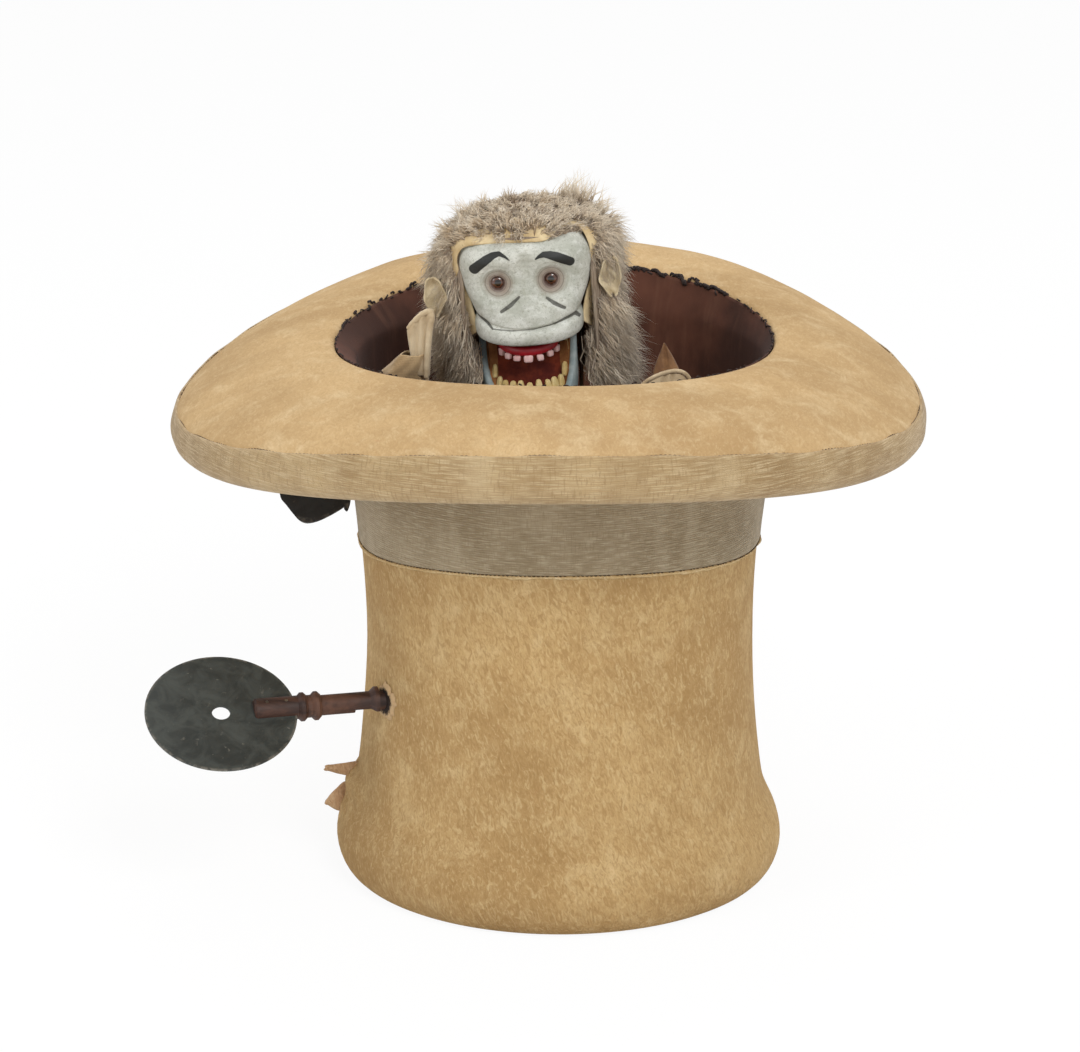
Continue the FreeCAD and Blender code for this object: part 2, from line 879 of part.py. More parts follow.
def head_block():
    block = rolled(skull(0).fuse(snout()).cut(eye_socket(-1)).cut(eye_socket(1)))
    bore = cylinder(post_radius, neck_foot, neck_foot + V(0, 0, post_seat_height))
    return block.cut(bore).cut(rolled(straight_jaw_pin()))


def face_mask():
    """Carved mask: heavy lip, flat cheeks and a brow, hollow behind the lip."""
    sections = [half_round(lip_half_width, mask_back, mask_front, snout_height),
                half_round(lip_half_width + lip_flare, mask_back, mask_front,
                           snout_height + lip_rise),
                half_round(brow_half_width - cheek_inset, mask_back, mask_front - cheek_setback,
                           eye_height),
                half_round(brow_half_width, mask_back, mask_front - brow_setback,
                           eye_height + brow_rise),
                half_round(mask_top_half_width, mask_back, mask_top_front, mask_top_height)]
    mask = Part.makeLoft(sections, True, True)
    hollow = cylinder(muzzle_hollow_radius,
                      neck_foot + V(0, -mask_back, snout_height - cut_margin),
                      neck_foot + V(0, -mask_back, skull_base_height + mask_seat_gap))
    mask = mask.cut(skull(mask_seat_gap)).cut(hollow)
    return rolled(mask.cut(eye_socket(-1)).cut(eye_socket(1)))


def eye_place(side):
    """Front of an eye's rim; side is -1 for the left."""
    return neck_foot + V(side * eye_spacing / 2, -eye_front, eye_height)


def eye_socket(side):
    """Round hole for an eye, open to the front."""
    ahead = V(0, -eye_radius, 0)
    return cylinder(eye_radius, eye_place(side) + V(0, eye_depth, 0), eye_place(side) + ahead)


def eye(side):
    """Glass eye with a stepped dome."""
    front = eye_place(side)
    dome = Part.makeCone(eye_radius, eye_radius / 2, eye_radius / 4, front, V(0, -1, 0))
    return rolled(cylinder(eye_radius, front + V(0, eye_depth, 0), front).fuse(dome))


def arc_places(radius, centre, count, spread):
    """Places along the front of a half circle about a point ahead of the neck."""
    middle = neck_foot + V(0, -centre, 0)
    step = spread / (count - 1)
    return [middle + direction(270 - spread / 2 + step * index) * radius
            for index in range(count)]


def upper_gum():
    """Half ring under the palate block."""
    centre = neck_foot + V(0, -gum_centre, snout_height - gum_thickness)
    ring = cylinder(gum_radius, centre, centre + V(0, 0, gum_thickness))
    ring = ring.cut(cylinder(gum_radius - gum_width, centre, centre + V(0, 0, gum_thickness)))
    front = box(centre + V(-gum_radius, -gum_radius, 0),
                centre + V(gum_radius, 0, gum_thickness))
    return rolled(ring.common(front))


def upper_teeth():
    low = snout_height - gum_thickness - upper_tooth_length
    places = arc_places(gum_radius - tooth_radius, gum_centre, upper_tooth_count,
                        upper_teeth_spread)
    return rolled(group([cylinder(tooth_radius, place + V(0, 0, low),
                                  place + V(0, 0, low + upper_tooth_length))
                         for place in places]))


def ear(side, reach, grow):
    """Flat oval ear that stands in the wig."""
    centre = neck_foot + V(side * reach, 0, ear_height)
    half_thickness = ear_thickness / 2 + grow
    oval = Part.Ellipse(centre + V(0, half_thickness, ear_half_height + grow),
                        centre + V(ear_half_width + grow, half_thickness, 0),
                        centre + V(0, half_thickness, 0))
    face = Part.Face(Part.Wire([oval.toShape()]))
    return face.extrude(V(0, -2 * half_thickness, 0))


def forehead_leather():
    """Leather strip that stands on the mask, under the edge of the wig."""
    outer = Part.Face(half_round(mask_top_half_width, mask_back, mask_top_front,
                                 mask_top_height))
    inner = Part.Face(half_round(mask_top_half_width - leather_thickness, mask_back,
                                 mask_top_front - leather_thickness, mask_top_height))
    strip = outer.cut(inner).extrude(V(0, 0, leather_width))
    return rolled(strip.cut(skull(mask_seat_gap)))


def fur_wig():
    """Fur cap and beard as one closed form, open for the face and hollow below."""
    rise = wig_top_height - wig_low_height
    outside = turned([(0, wig_low_height), (wig_radius, wig_low_height),
                      (wig_radius, wig_low_height + rise * 0.7),
                      (wig_radius * 0.95, wig_low_height + rise * 0.84),
                      (wig_radius * 0.75, wig_low_height + rise * 0.93),
                      (wig_radius * 0.4, wig_low_height + rise * 0.985),
                      (0, wig_top_height)], neck_foot)
    hollow = cylinder(wig_hollow_radius, neck_foot + V(0, 0, wig_low_height - cut_margin),
                      neck_foot + V(0, 0, skull_base_height + wig_gap))
    face = box(neck_foot + V(-wig_face_half_width, -wig_radius, wig_low_height - cut_margin),
               neck_foot + V(wig_face_half_width, -mask_back + wig_gap,
                             mask_top_height + leather_width + wig_gap))
    wig = outside.cut(skull(wig_gap)).cut(hollow).cut(face)
    wig = wig.cut(ear(-1, left_ear_reach, wig_gap)).cut(ear(1, right_ear_reach, wig_gap))
    return rolled(wig)


# ---------------------------------------------------------------- jaw

def straight_jaw_pin():
    reach = V(jaw_outer_radius, 0, 0)
    return cylinder(jaw_pin_radius, pivot - reach, pivot + reach)


def jaw_cheek():
    """Side outline of the jaw, as a slab across the whole head."""
    outline = [(jaw_centre + jaw_outer_radius, jaw_floor_height),
               (jaw_centre + jaw_outer_radius, jaw_rim_height),
               (jaw_centre + jaw_outer_radius - 1.5 * jaw_wall, jaw_rim_height),
               (jaw_centre + 1.5 * jaw_wall, jaw_front_height),
               (0, pivot_height + jaw_boss_radius),
               (-jaw_boss_radius, pivot_height + jaw_boss_radius - jaw_shoulder_drop),
               (-jaw_boss_radius, pivot_height - jaw_boss_radius),
               (jaw_wall, pivot_height - 3.5 * jaw_boss_radius),
               (jaw_centre + jaw_wall, jaw_floor_height)]
    points = [neck_foot + V(-jaw_outer_radius - cut_margin, -ahead, height)
              for ahead, height in outline]
    return prism(points, V(2 * (jaw_outer_radius + cut_margin), 0, 0))


def jaw_plan(radius, low):
    """Horseshoe plan of the jaw, filled."""
    centre = neck_foot + V(0, -jaw_centre, low)
    top = V(0, 0, pivot_height + jaw_boss_radius - low)
    front = cylinder(radius, centre, centre + top)
    back = box(centre + V(-radius, 0, 0), centre + V(radius, jaw_centre + jaw_boss_radius, 0) + top)
    return front.fuse(back)


def jaw_block():
    shell = jaw_plan(jaw_outer_radius, jaw_floor_height)
    inside = jaw_plan(jaw_outer_radius - jaw_wall, jaw_floor_height + jaw_floor_thickness)
    rear = box(neck_foot + V(-jaw_outer_radius + jaw_wall, -jaw_centre - 1.5 * jaw_wall,
                             jaw_floor_height),
               neck_foot + V(jaw_outer_radius - jaw_wall, jaw_outer_radius, pivot_height))
    block = shell.cut(inside).cut(rear).common(jaw_cheek())
    reach = V(jaw_outer_radius + cut_margin, 0, 0)
    bore = cylinder(jaw_pin_radius + running_clearance, pivot - reach, pivot + reach)
    return rolled(block.cut(bore))


def lower_teeth():
    radius = jaw_outer_radius - jaw_wall / 2
    places = arc_places(radius, jaw_centre, lower_tooth_count, lower_teeth_spread)
    return rolled(group([cylinder(tooth_radius, place + V(0, 0, jaw_rim_height),
                                  place + V(0, 0, jaw_rim_height + lower_tooth_length))
                         for place in places]))


def jaw_horn():
    """Brass plate on the right cheek; the push wire hooks into its hole."""
    side = V(jaw_outer_radius, 0, 0)
    width = V(horn_thickness, 0, 0)
    hook = V(0, horn_offset, finger_lift)
    ends = [pivot + side, pivot + side + hook]
    discs = [cylinder(horn_radius, end, end + width) for end in ends]
    along = (ends[1] - ends[0]).normalize()
    across = V(0, -along.z, along.y) * horn_radius
    bar = prism([ends[0] - across, ends[1] - across, ends[1] + across, ends[0] + across], width)
    plate = bar.fuse(discs)
    hole = cylinder(horn_hole_radius, ends[1], ends[1] + width)
    return rolled(plate.cut(hole))


# ---------------------------------------------------------------- jaw drive

finger_slot = 2 * finger_radius + 2 * groove_clearance
throw_low = groove_height - finger_slot / 2 - throw_flange_thickness
throw_top = groove_height + finger_slot / 2 + throw_flange_thickness


def throw_collar():
    """Grooved collar that slides on the neck post and turns with it."""
    bore = post_radius + running_clearance
    return turned([(bore, throw_low), (throw_low_radius, throw_low),
                   (throw_low_radius, throw_low + throw_flange_thickness),
                   (throw_hub_radius, throw_low + throw_flange_thickness),
                   (throw_hub_radius, throw_top - throw_flange_thickness),
                   (throw_top_radius, throw_top - throw_flange_thickness),
                   (throw_top_radius, throw_top), (bore, throw_top)], neck_foot)


def hook_centre():
    """Where the push wire's bent end enters the horn, with the head's roll."""
    arm = V(jaw_outer_radius, horn_offset, finger_lift)
    roll = math.radians(head_roll)
    return pivot + V(arm.x * math.cos(roll) - arm.z * math.sin(roll), arm.y,
                     arm.x * math.sin(roll) + arm.z * math.cos(roll))


def push_wire():
    """Stiff wire from the throw collar up to the jaw horn, bent into its hole."""
    tip = hook_centre() + V(soft_gap, 0, 0)
    stem_x = hook_centre().x + horn_thickness + wire_clearance
    bend = 2 * wire_radius
    bend_start = V(stem_x, tip.y, tip.z - bend)
    bend_end = V(stem_x - bend, tip.y, tip.z)
    slant = bend * math.sqrt(0.5)
    bend_middle = V(stem_x - bend + slant, tip.y, tip.z - bend + slant)
    foot = V(stem_x, tip.y, throw_top)
    path = Part.Wire([Part.LineSegment(foot, bend_start).toShape(),
                      Part.Arc(bend_start, bend_middle, bend_end).toShape(),
                      Part.LineSegment(bend_end, tip).toShape()])
    section = Part.Wire([Part.Circle(foot, V(0, 0, 1), wire_radius).toShape()])
    return path.makePipeShell([section], True, False)


def on_lever(shape):
    """Places a level piece of the jaw lever."""
    return placed(shape, lever_origin, lever_out, V(0, 0, 1))


def on_paddle(shape):
    """Places a piece that shares the paddle's lean."""
    return placed(shape, lever_origin, lever_out, paddle_normal)


def lever_shaft():
    return on_lever(cylinder(lever_shaft_radius, V(lever_start, 0, 0),
                             V(paddle_centre - paddle_radius, 0, 0)))


def lever_finger():
    """Arm on the shaft's inner end with a finger that lies in the groove."""
    reach = V(0, finger_offset, finger_lift)
    start = V(lever_start, 0, 0)
    width = V(lever_hub_width, 0, 0)
    hub = cylinder(lever_hub_radius, start, start + width)
    end = cylinder(2 * finger_radius, start + reach, start + reach + width)
    across = V(0, -reach.z, reach.y).normalize() * 2 * finger_radius
    arm = prism([start - across, start + reach - across, start + reach + across,
                 start + across], width)
    depth = math.sqrt(throw_low_radius ** 2 - finger_offset ** 2) - 2 * throw_flange_thickness
    finger = cylinder(finger_radius, V(depth, 0, 0) + reach, start + reach)
    bore = cylinder(lever_shaft_radius, start, start + width)
    return on_lever(hub.fuse([end, arm, finger]).cut(bore))


def lever_bracket():
    """Upright on the shoulder board that carries the lever shaft's inner end."""
    half = lever_bracket_width / 2
    low = shoulder_board_top - lever_height
    post = box(V(lever_bracket_start, -half, low),
               V(lever_bracket_start + lever_bracket_thickness, half, lever_bracket_rise))
    return on_lever(post.cut(lever_bore()))


def lever_bore():
    return cylinder(lever_shaft_radius + running_clearance, V(0, 0, 0), V(paddle_centre, 0, 0))


def lever_bush():
    """Wooden bush held in the hat wall."""
    outer = lever_shaft_radius + lever_bush_wall
    end = lever_bush_start + lever_bush_length
    bush = cylinder(outer, V(lever_bush_start, 0, 0), V(end, 0, 0))
    return on_lever(bush.cut(lever_bore()))


def jaw_paddle():
    """Black disc, held edge-on to its shaft."""
    plate = cylinder(paddle_radius, V(paddle_centre, 0, -paddle_thickness / 2),
                     V(paddle_centre, 0, paddle_thickness / 2))
    return on_paddle(plate)


def paddle_clamp():
    """Split ferrule that joins the paddle to its shaft."""
    ferrule = cylinder(paddle_clamp_radius, V(paddle_clamp_start, 0, 0),
                       V(paddle_clamp_end, 0, 0))
    slot = cylinder(paddle_radius, V(paddle_centre, 0, -paddle_thickness / 2),
                    V(paddle_centre, 0, paddle_thickness / 2))
    bore = cylinder(lever_shaft_radius, V(0, 0, 0), V(paddle_centre - paddle_radius, 0, 0))
    return on_paddle(ferrule.cut(slot).cut(bore))


# ---------------------------------------------------------------- arms and hands

def sleeve(elbow, wrist, height):
    """Tapered sleeve from the shoulder board up to the cuff, cut level at both ends."""
    foot = V(elbow[0], elbow[1], shoulder_board_top)
    top = V(wrist[0], wrist[1], height)
    overrun = (top - foot).normalize() * sleeve_foot_radius
    length = (top - foot).Length + 2 * sleeve_foot_radius
    cone = Part.makeCone(sleeve_foot_radius, cuff_radius, length, foot - overrun, top - foot)
    reach = V(2 * length, 2 * length, 0)
    return cone.common(box(foot - reach, foot + reach + V(0, 0, top.z - foot.z)))


def mitten(wrist, height, outline, half_width, length):
    """Stuffed hand without fingers that stands on the cuff; its long edges are bevelled."""
    bevel_share = 1 - hand_bevel / half_width
    layers = []
    for depth, share in ((-hand_thickness / 2, bevel_share), (hand_bevel - hand_thickness / 2, 1),
                         (hand_thickness / 2 - hand_bevel, 1), (hand_thickness / 2, bevel_share)):
        points = [V(wrist[0] + x * half_width * share, wrist[1] + depth,
                    height + z * (length - hand_bevel * (1 - share) * length / half_width))
                  for x, z in outline]
        layers.append(Part.makePolygon(points + points[:1]))
    return Part.makeLoft(layers, True, True)


def left_hand():
    """Mitten with its point at the right, like a bishop's hat cut aslant."""
    outline = [(-0.7, 0), (-0.9, 0.2), (-1.0, 0.5), (-0.95, 0.68), (-0.3, 0.86), (0.45, 1.0),
               (0.85, 0.98), (1.0, 0.86), (0.9, 0.5), (0.8, 0.2), (0.7, 0)]
    return mitten(left_wrist, left_hand_height, outline, left_hand_half_width, left_hand_length)


def right_hand():
    """Low broad palm with one pointed finger."""
    outline = [(-0.6, 0), (-0.95, 0.1), (-1.0, 0.25), (-0.75, 0.4), (-0.5, 0.5), (-0.2, 0.8),
               (0.05, 1.0), (0.2, 0.95), (0.45, 0.6), (0.75, 0.42), (1.0, 0.25), (0.95, 0.1),
               (0.6, 0)]
    return mitten(right_wrist, right_hand_height, outline, right_hand_half_width,
                  right_hand_length)


# ---------------------------------------------------------------- all sub-parts

def all_parts():
    """Every sub-part by name."""
    return {
        "base_felt": base_felt(),
        "crown_shell": crown_shell(),
        "crown_plush": crown_plush(),
        "hat_band": hat_band(),
        "brim_core": brim_core(),
        "brim_top_cover": brim_top_cover(),
        "brim_under_cover": brim_under_cover(),
        "brim_ribbon": brim_ribbon(),
        "lining": lining(),
        "base_board": base_board(),
        "shoulder_ledge": shoulder_ledge(),
        "shoulder_board": shoulder_board(),
        "board_screws": board_screws(),
        "neck_bush": neck_bush(),
        "neck_pedestal": neck_pedestal(),
        "inner_bearing_board": inner_bearing_board(),
        "outer_bearing_board": outer_bearing_board(),
        "corner_blocks": corner_blocks(),
        "crank_bush": crank_bush(),
        "crank_shaft": crank_shaft(),
        "crank_disc": crank_disc(),
        "handle_front_half": handle_half(handle_start, 1),
        "handle_back_half": handle_half(handle_back_start, -1),
        "handle_rivets": handle_rivets(),
        "lantern_flanges": lantern_flanges(),
        "lantern_pegs": lantern_pegs(),
        "lantern_pin": lantern_pin(),
        "shaft_collar": shaft_collar(),
        "collar_pin": collar_pin(),
        "neck_post": neck_post(),
        "crown_wheel": crown_wheel(),
        "wheel_pegs": wheel_pegs(),
        "wheel_pin": wheel_pin(),
        "head_block": head_block(),
        "face_mask": face_mask(),
        "left_eye": eye(-1),
        "right_eye": eye(1),
        "upper_gum": upper_gum(),
        "upper_teeth": upper_teeth(),
        "left_ear": rolled(ear(-1, left_ear_reach, 0)),
        "right_ear": rolled(ear(1, right_ear_reach, 0)),
        "forehead_leather": forehead_leather(),
        "fur_wig": fur_wig(),
        "jaw_pin": rolled(straight_jaw_pin()),
        "jaw_block": jaw_block(),
        "lower_teeth": lower_teeth(),
        "jaw_horn": jaw_horn(),
        "throw_collar": throw_collar(),
        "push_wire": push_wire(),
        "lever_shaft": lever_shaft(),
        "lever_finger": lever_finger(),
        "lever_bracket": lever_bracket(),
        "lever_bush": lever_bush(),
        "jaw_paddle": jaw_paddle(),
        "paddle_clamp": paddle_clamp(),
        "left_sleeve": sleeve(left_elbow, left_wrist, left_hand_height),
        "right_sleeve": sleeve(right_elbow, right_wrist, right_hand_height),
        "left_hand": left_hand(),
        "right_hand": right_hand(),
    }


def main():
    os.makedirs("parts", exist_ok=True)
    for name, shape in all_parts().items():
        shape.exportStep(os.path.join("parts", name + ".step"))


main()
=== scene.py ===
import bpy
import bmesh
import math
import random
from mathutils import Matrix, Vector, noise


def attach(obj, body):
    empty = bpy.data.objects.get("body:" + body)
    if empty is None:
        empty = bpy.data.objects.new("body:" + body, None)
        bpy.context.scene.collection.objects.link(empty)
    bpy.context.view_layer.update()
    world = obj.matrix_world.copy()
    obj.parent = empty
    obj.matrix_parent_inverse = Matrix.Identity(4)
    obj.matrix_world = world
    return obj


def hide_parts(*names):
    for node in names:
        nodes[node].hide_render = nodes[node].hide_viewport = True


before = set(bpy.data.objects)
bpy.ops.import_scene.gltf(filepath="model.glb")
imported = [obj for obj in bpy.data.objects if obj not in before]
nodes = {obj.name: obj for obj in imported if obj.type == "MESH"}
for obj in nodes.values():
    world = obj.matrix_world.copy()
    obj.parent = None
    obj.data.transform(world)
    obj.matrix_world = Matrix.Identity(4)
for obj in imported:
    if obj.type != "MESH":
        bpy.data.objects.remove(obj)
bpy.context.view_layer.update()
MM = 0.001

# ---------------------------------------------------------------- sizes, in millimetres

neck_x, neck_y = -24.0, -41.0
pivot_height = 426.0
head_roll = math.radians(4.0)

opening_radius, opening_height, opening_sag, opening_shift = 160.0, 400.0, 6.0, -4.0
opening_back_rise, opening_side_rise, brim_back_rise, brim_side_rise = 6.5, 1.5, 10.0, 2.5
brim_half_width, brim_half_depth, brim_shift = 268.0, 274.0, -8.0
seam_height, seam_sag = 365.5, 21.5
ribbon_height, ribbon_swing = 28.0, 4.0
neck_height, neck_sag, neck_radius = 352.5, 7.5, 156.5
band_low, band_sag = 259.5, 6.5
shoulder_top, shell_edge = 266.0, 387.0

crown_profile = ((152.0, 0.6), (156.5, 2.0), (160.6, 7.0), (163.6, 14.0), (165.3, 23.0), (164.4, 33.0),
                 (161.4, 43.0), (156.8, 52.0), (153.2, 60.0), (150.6, 68.0), (147.9, 89.0),
                 (145.7, 111.0), (143.2, 144.0), (141.9, 176.0), (142.0, 209.0), (143.7, 241.0),
                 (146.6, 270.0), (149.6, 300.0), (151.4, 330.0), (152.6, 362.0))


# ---------------------------------------------------------------- modelling helpers

def deselect():
    bpy.ops.object.select_all(action="DESELECT")


def editing(piece):
    deselect()
    piece.select_set(True)
    bpy.context.view_layer.objects.active = piece
    bpy.ops.object.mode_set(mode="EDIT")


def done_editing():
    bpy.ops.object.mode_set(mode="OBJECT")


def added(name, operator, **settings):
    """A new primitive under its own name."""
    deselect()
    operator(**settings)
    piece = bpy.context.object
    piece.name = name
    piece.data.name = name
    return piece


def seated(piece):
    """Puts the piece's place, turn and size into its mesh."""
    deselect()
    piece.select_set(True)
    bpy.context.view_layer.objects.active = piece
    bpy.ops.object.transform_apply(location=True, rotation=True, scale=True)
    return piece


def with_modifier(piece, kind, **settings):
    """Adds a modifier and applies it."""
    deselect()
    piece.select_set(True)
    bpy.context.view_layer.objects.active = piece
    modifier = piece.modifiers.new(kind.lower(), kind)
    for name, value in settings.items():
        setattr(modifier, name, value)
    bpy.ops.object.modifier_apply(modifier=modifier.name)
    return piece


def smoothed(piece, levels=1):
    return with_modifier(piece, "SUBSURF", levels=levels, render_levels=levels)


def thickened(piece, thickness, offset=-1.0):
    return with_modifier(piece, "SOLIDIFY", thickness=thickness * MM, offset=offset)


def facing_out(piece):
    """Merges doubles and turns the faces outwards."""
    editing(piece)
    bpy.ops.mesh.select_all(action="SELECT")
    bpy.ops.mesh.remove_doubles(threshold=0.00001)
    bpy.ops.mesh.normals_make_consistent(inside=False)
    done_editing()
    return piece


def without_faces(piece, unwanted):
    """Takes away the faces that a test on their corner numbers names."""
    editing(piece)
    bpy.ops.mesh.select_all(action="DESELECT")
    done_editing()
    for polygon in piece.data.polygons:
        polygon.select = unwanted(polygon.vertices)
    bpy.ops.object.mode_set(mode="EDIT")
    bpy.ops.mesh.select_mode(type="FACE")
    bpy.ops.mesh.delete(type="FACE")
    bpy.ops.mesh.select_mode(type="VERT")
    done_editing()


def round_shaded(piece, angle=None):
    deselect()
    piece.select_set(True)
    bpy.context.view_layer.objects.active = piece
    if angle is None:
        bpy.ops.object.shade_smooth()
    else:
        bpy.ops.object.shade_smooth_by_angle(angle=math.radians(angle))
    return piece


def joined(name, pieces):
    """Several meshes made one piece."""
    deselect()
    for piece in pieces:
        piece.select_set(True)
    bpy.context.view_layer.objects.active = pieces[0]
    if len(pieces) > 1:
        bpy.ops.object.join()
    pieces[0].name = name
    pieces[0].data.name = name
    return pieces[0]


def dressed(piece, body, slot, material, *replaced):
    """Gives a piece its finish, its body and the solids it stands for."""
    piece.data.materials.clear()
    piece.data.materials.append(material)
    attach(piece, body)
    if replaced:
        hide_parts(*replaced)
    return piece


def swing(level, amount, angle):
    """A height that is lower at the sides and higher at the front and back."""
    return level - amount * math.cos(2 * angle)


def cocked(back_rise, side_rise, angle):
    """How much higher the cocked brim stands toward its back, most at the right."""
    return (back_rise + side_rise * math.cos(angle)) * (1 + math.sin(angle))


def opening_level(angle):
    """Height of the mouth's edge."""
    return swing(opening_height, opening_sag, angle) + cocked(opening_back_rise, opening_side_rise, angle)


def seam_level(angle):
    """Height of the seam between the brim's top and its binding."""
    return swing(seam_height, seam_sag, angle) + cocked(brim_back_rise, brim_side_rise, angle)


def round_place(angle, half_width, half_depth, height, shift=0.0):
    return Vector((shift + half_width * math.cos(angle), half_depth * math.sin(angle), height))


def ring_sheet(name, lines, steps=120, closed=False):
    """A sheet swept round the hat; each line gives one ring's place at an angle."""
    piece = added(name, bpy.ops.mesh.primitive_circle_add, vertices=steps, radius=1.0)
    bpy.ops.object.mode_set(mode="EDIT")
    for _ in lines[1:]:
        bpy.ops.mesh.extrude_region_move(TRANSFORM_OT_translate={"value": (0, 0, 1)})
    if closed:
        bpy.ops.mesh.select_all(action="DESELECT")
        done_editing()
        top = len(lines) - 1
        for edge in piece.data.edges:
            heights = [round(piece.data.vertices[v].co.z) for v in edge.vertices]
            edge.select = heights[0] == heights[1] and heights[0] in (0, top)
        bpy.ops.object.mode_set(mode="EDIT")
        bpy.ops.mesh.select_mode(type="EDGE")
        bpy.ops.mesh.bridge_edge_loops()
        bpy.ops.mesh.select_mode(type="VERT")
    done_editing()
    for vertex in piece.data.vertices:
        angle = math.atan2(vertex.co.y, vertex.co.x)
        vertex.co = lines[round(vertex.co.z)](angle) * MM
    return facing_out(piece)


def stitches(name, path, count, length, thickness, seed, stray=0.15, kept=1.0, span=(0.0, 360.0)):
    """Short raised stitches along a closed line; path(angle) gives place and way out."""
    order = random.Random(seed)
    stitch = added(name + "_one", bpy.ops.mesh.primitive_cylinder_add, vertices=5, radius=thickness / 2 * MM,
                   depth=length * MM, end_fill_type="NGON")
    editing(stitch)
    bpy.ops.mesh.subdivide(number_cuts=1)
    done_editing()
    pattern = stitch.data.copy()
    bpy.data.objects.remove(stitch)
    mesh = bmesh.new()
    for index in range(count):
        angle = math.radians(span[0] + (span[1] - span[0]) * index / count)
        if order.random() > kept:
            continue
        place, out = path(angle)
        ahead = (path(angle + 0.01)[0] - place).normalized()
        turn = Matrix.Rotation(order.uniform(-stray, stray), 3, out)
        ahead = turn @ ahead
        side = out.cross(ahead).normalized()
        way = Matrix((side, out, ahead)).transposed().to_4x4()
        way.translation = place * MM
        start = len(mesh.verts)
        mesh.from_mesh(pattern)
        mesh.verts.ensure_lookup_table()
        size = order.uniform(0.75, 1.2)
        for vertex in mesh.verts[start:]:
            share = abs(vertex.co.z) / (length / 2 * MM)
            vertex.co.z *= size
            vertex.co.y -= thickness * 0.7 * MM * share * share
            vertex.co = way @ vertex.co
    piece_mesh = bpy.data.meshes.new(name)
    mesh.to_mesh(piece_mesh)
    mesh.free()
    piece = bpy.data.objects.new(name, piece_mesh)
    bpy.context.scene.collection.objects.link(piece)
    return round_shaded(piece)


def between(rows, at):
    """Smooth values between rows of numbers; at runs from 0 to 1."""
    span = at * (len(rows) - 1)
    first = min(int(span), len(rows) - 2)
    share = span - first
    before, start = rows[max(first - 1, 0)], rows[first]
    end, after = rows[first + 1], rows[min(first + 2, len(rows) - 1)]
    values = []
    for p0, p1, p2, p3 in zip(before, start, end, after):
        values.append(0.5 * (2 * p1 + (p2 - p0) * share + (2 * p0 - 5 * p1 + 4 * p2 - p3) * share ** 2
                             + (3 * p1 - p0 - 3 * p2 + p3) * share ** 3))
    return values


def near(distance, width):
    """A soft hill, 1 at its middle."""
    return math.exp(-(distance / width) ** 2)


def carry(piece, name, values):
    """Keeps a number at each point for the piece's finish."""
    layer = piece.data.attributes.new(name, "FLOAT", "POINT")
    layer.data.foreach_set("value", values)


# ---------------------------------------------------------------- finishes

def tone(red, green, blue):
    """A colour as it is seen, 0 to 255, made linear."""
    def linear(part):
        part /= 255.0
        return part / 12.92 if part <= 0.04045 else ((part + 0.055) / 1.055) ** 2.4
    return (linear(red), linear(green), linear(blue), 1.0)


class Wire:
    """A shader socket that takes part in arithmetic."""

    def __init__(self, finish, socket):
        self.finish = finish
        self.socket = socket

    def __add__(self, other):
        return self.finish.sum("ADD", self, other)

    def __radd__(self, other):
        return self.finish.sum("ADD", other, self)

    def __sub__(self, other):
        return self.finish.sum("SUBTRACT", self, other)

    def __rsub__(self, other):
        return self.finish.sum("SUBTRACT", other, self)

    def __mul__(self, other):
        return self.finish.sum("MULTIPLY", self, other)

    def __rmul__(self, other):
        return self.finish.sum("MULTIPLY", other, self)

    def __truediv__(self, other):
        return self.finish.sum("DIVIDE", self, other)

    def __pow__(self, other):
        return self.finish.sum("POWER", self, other)


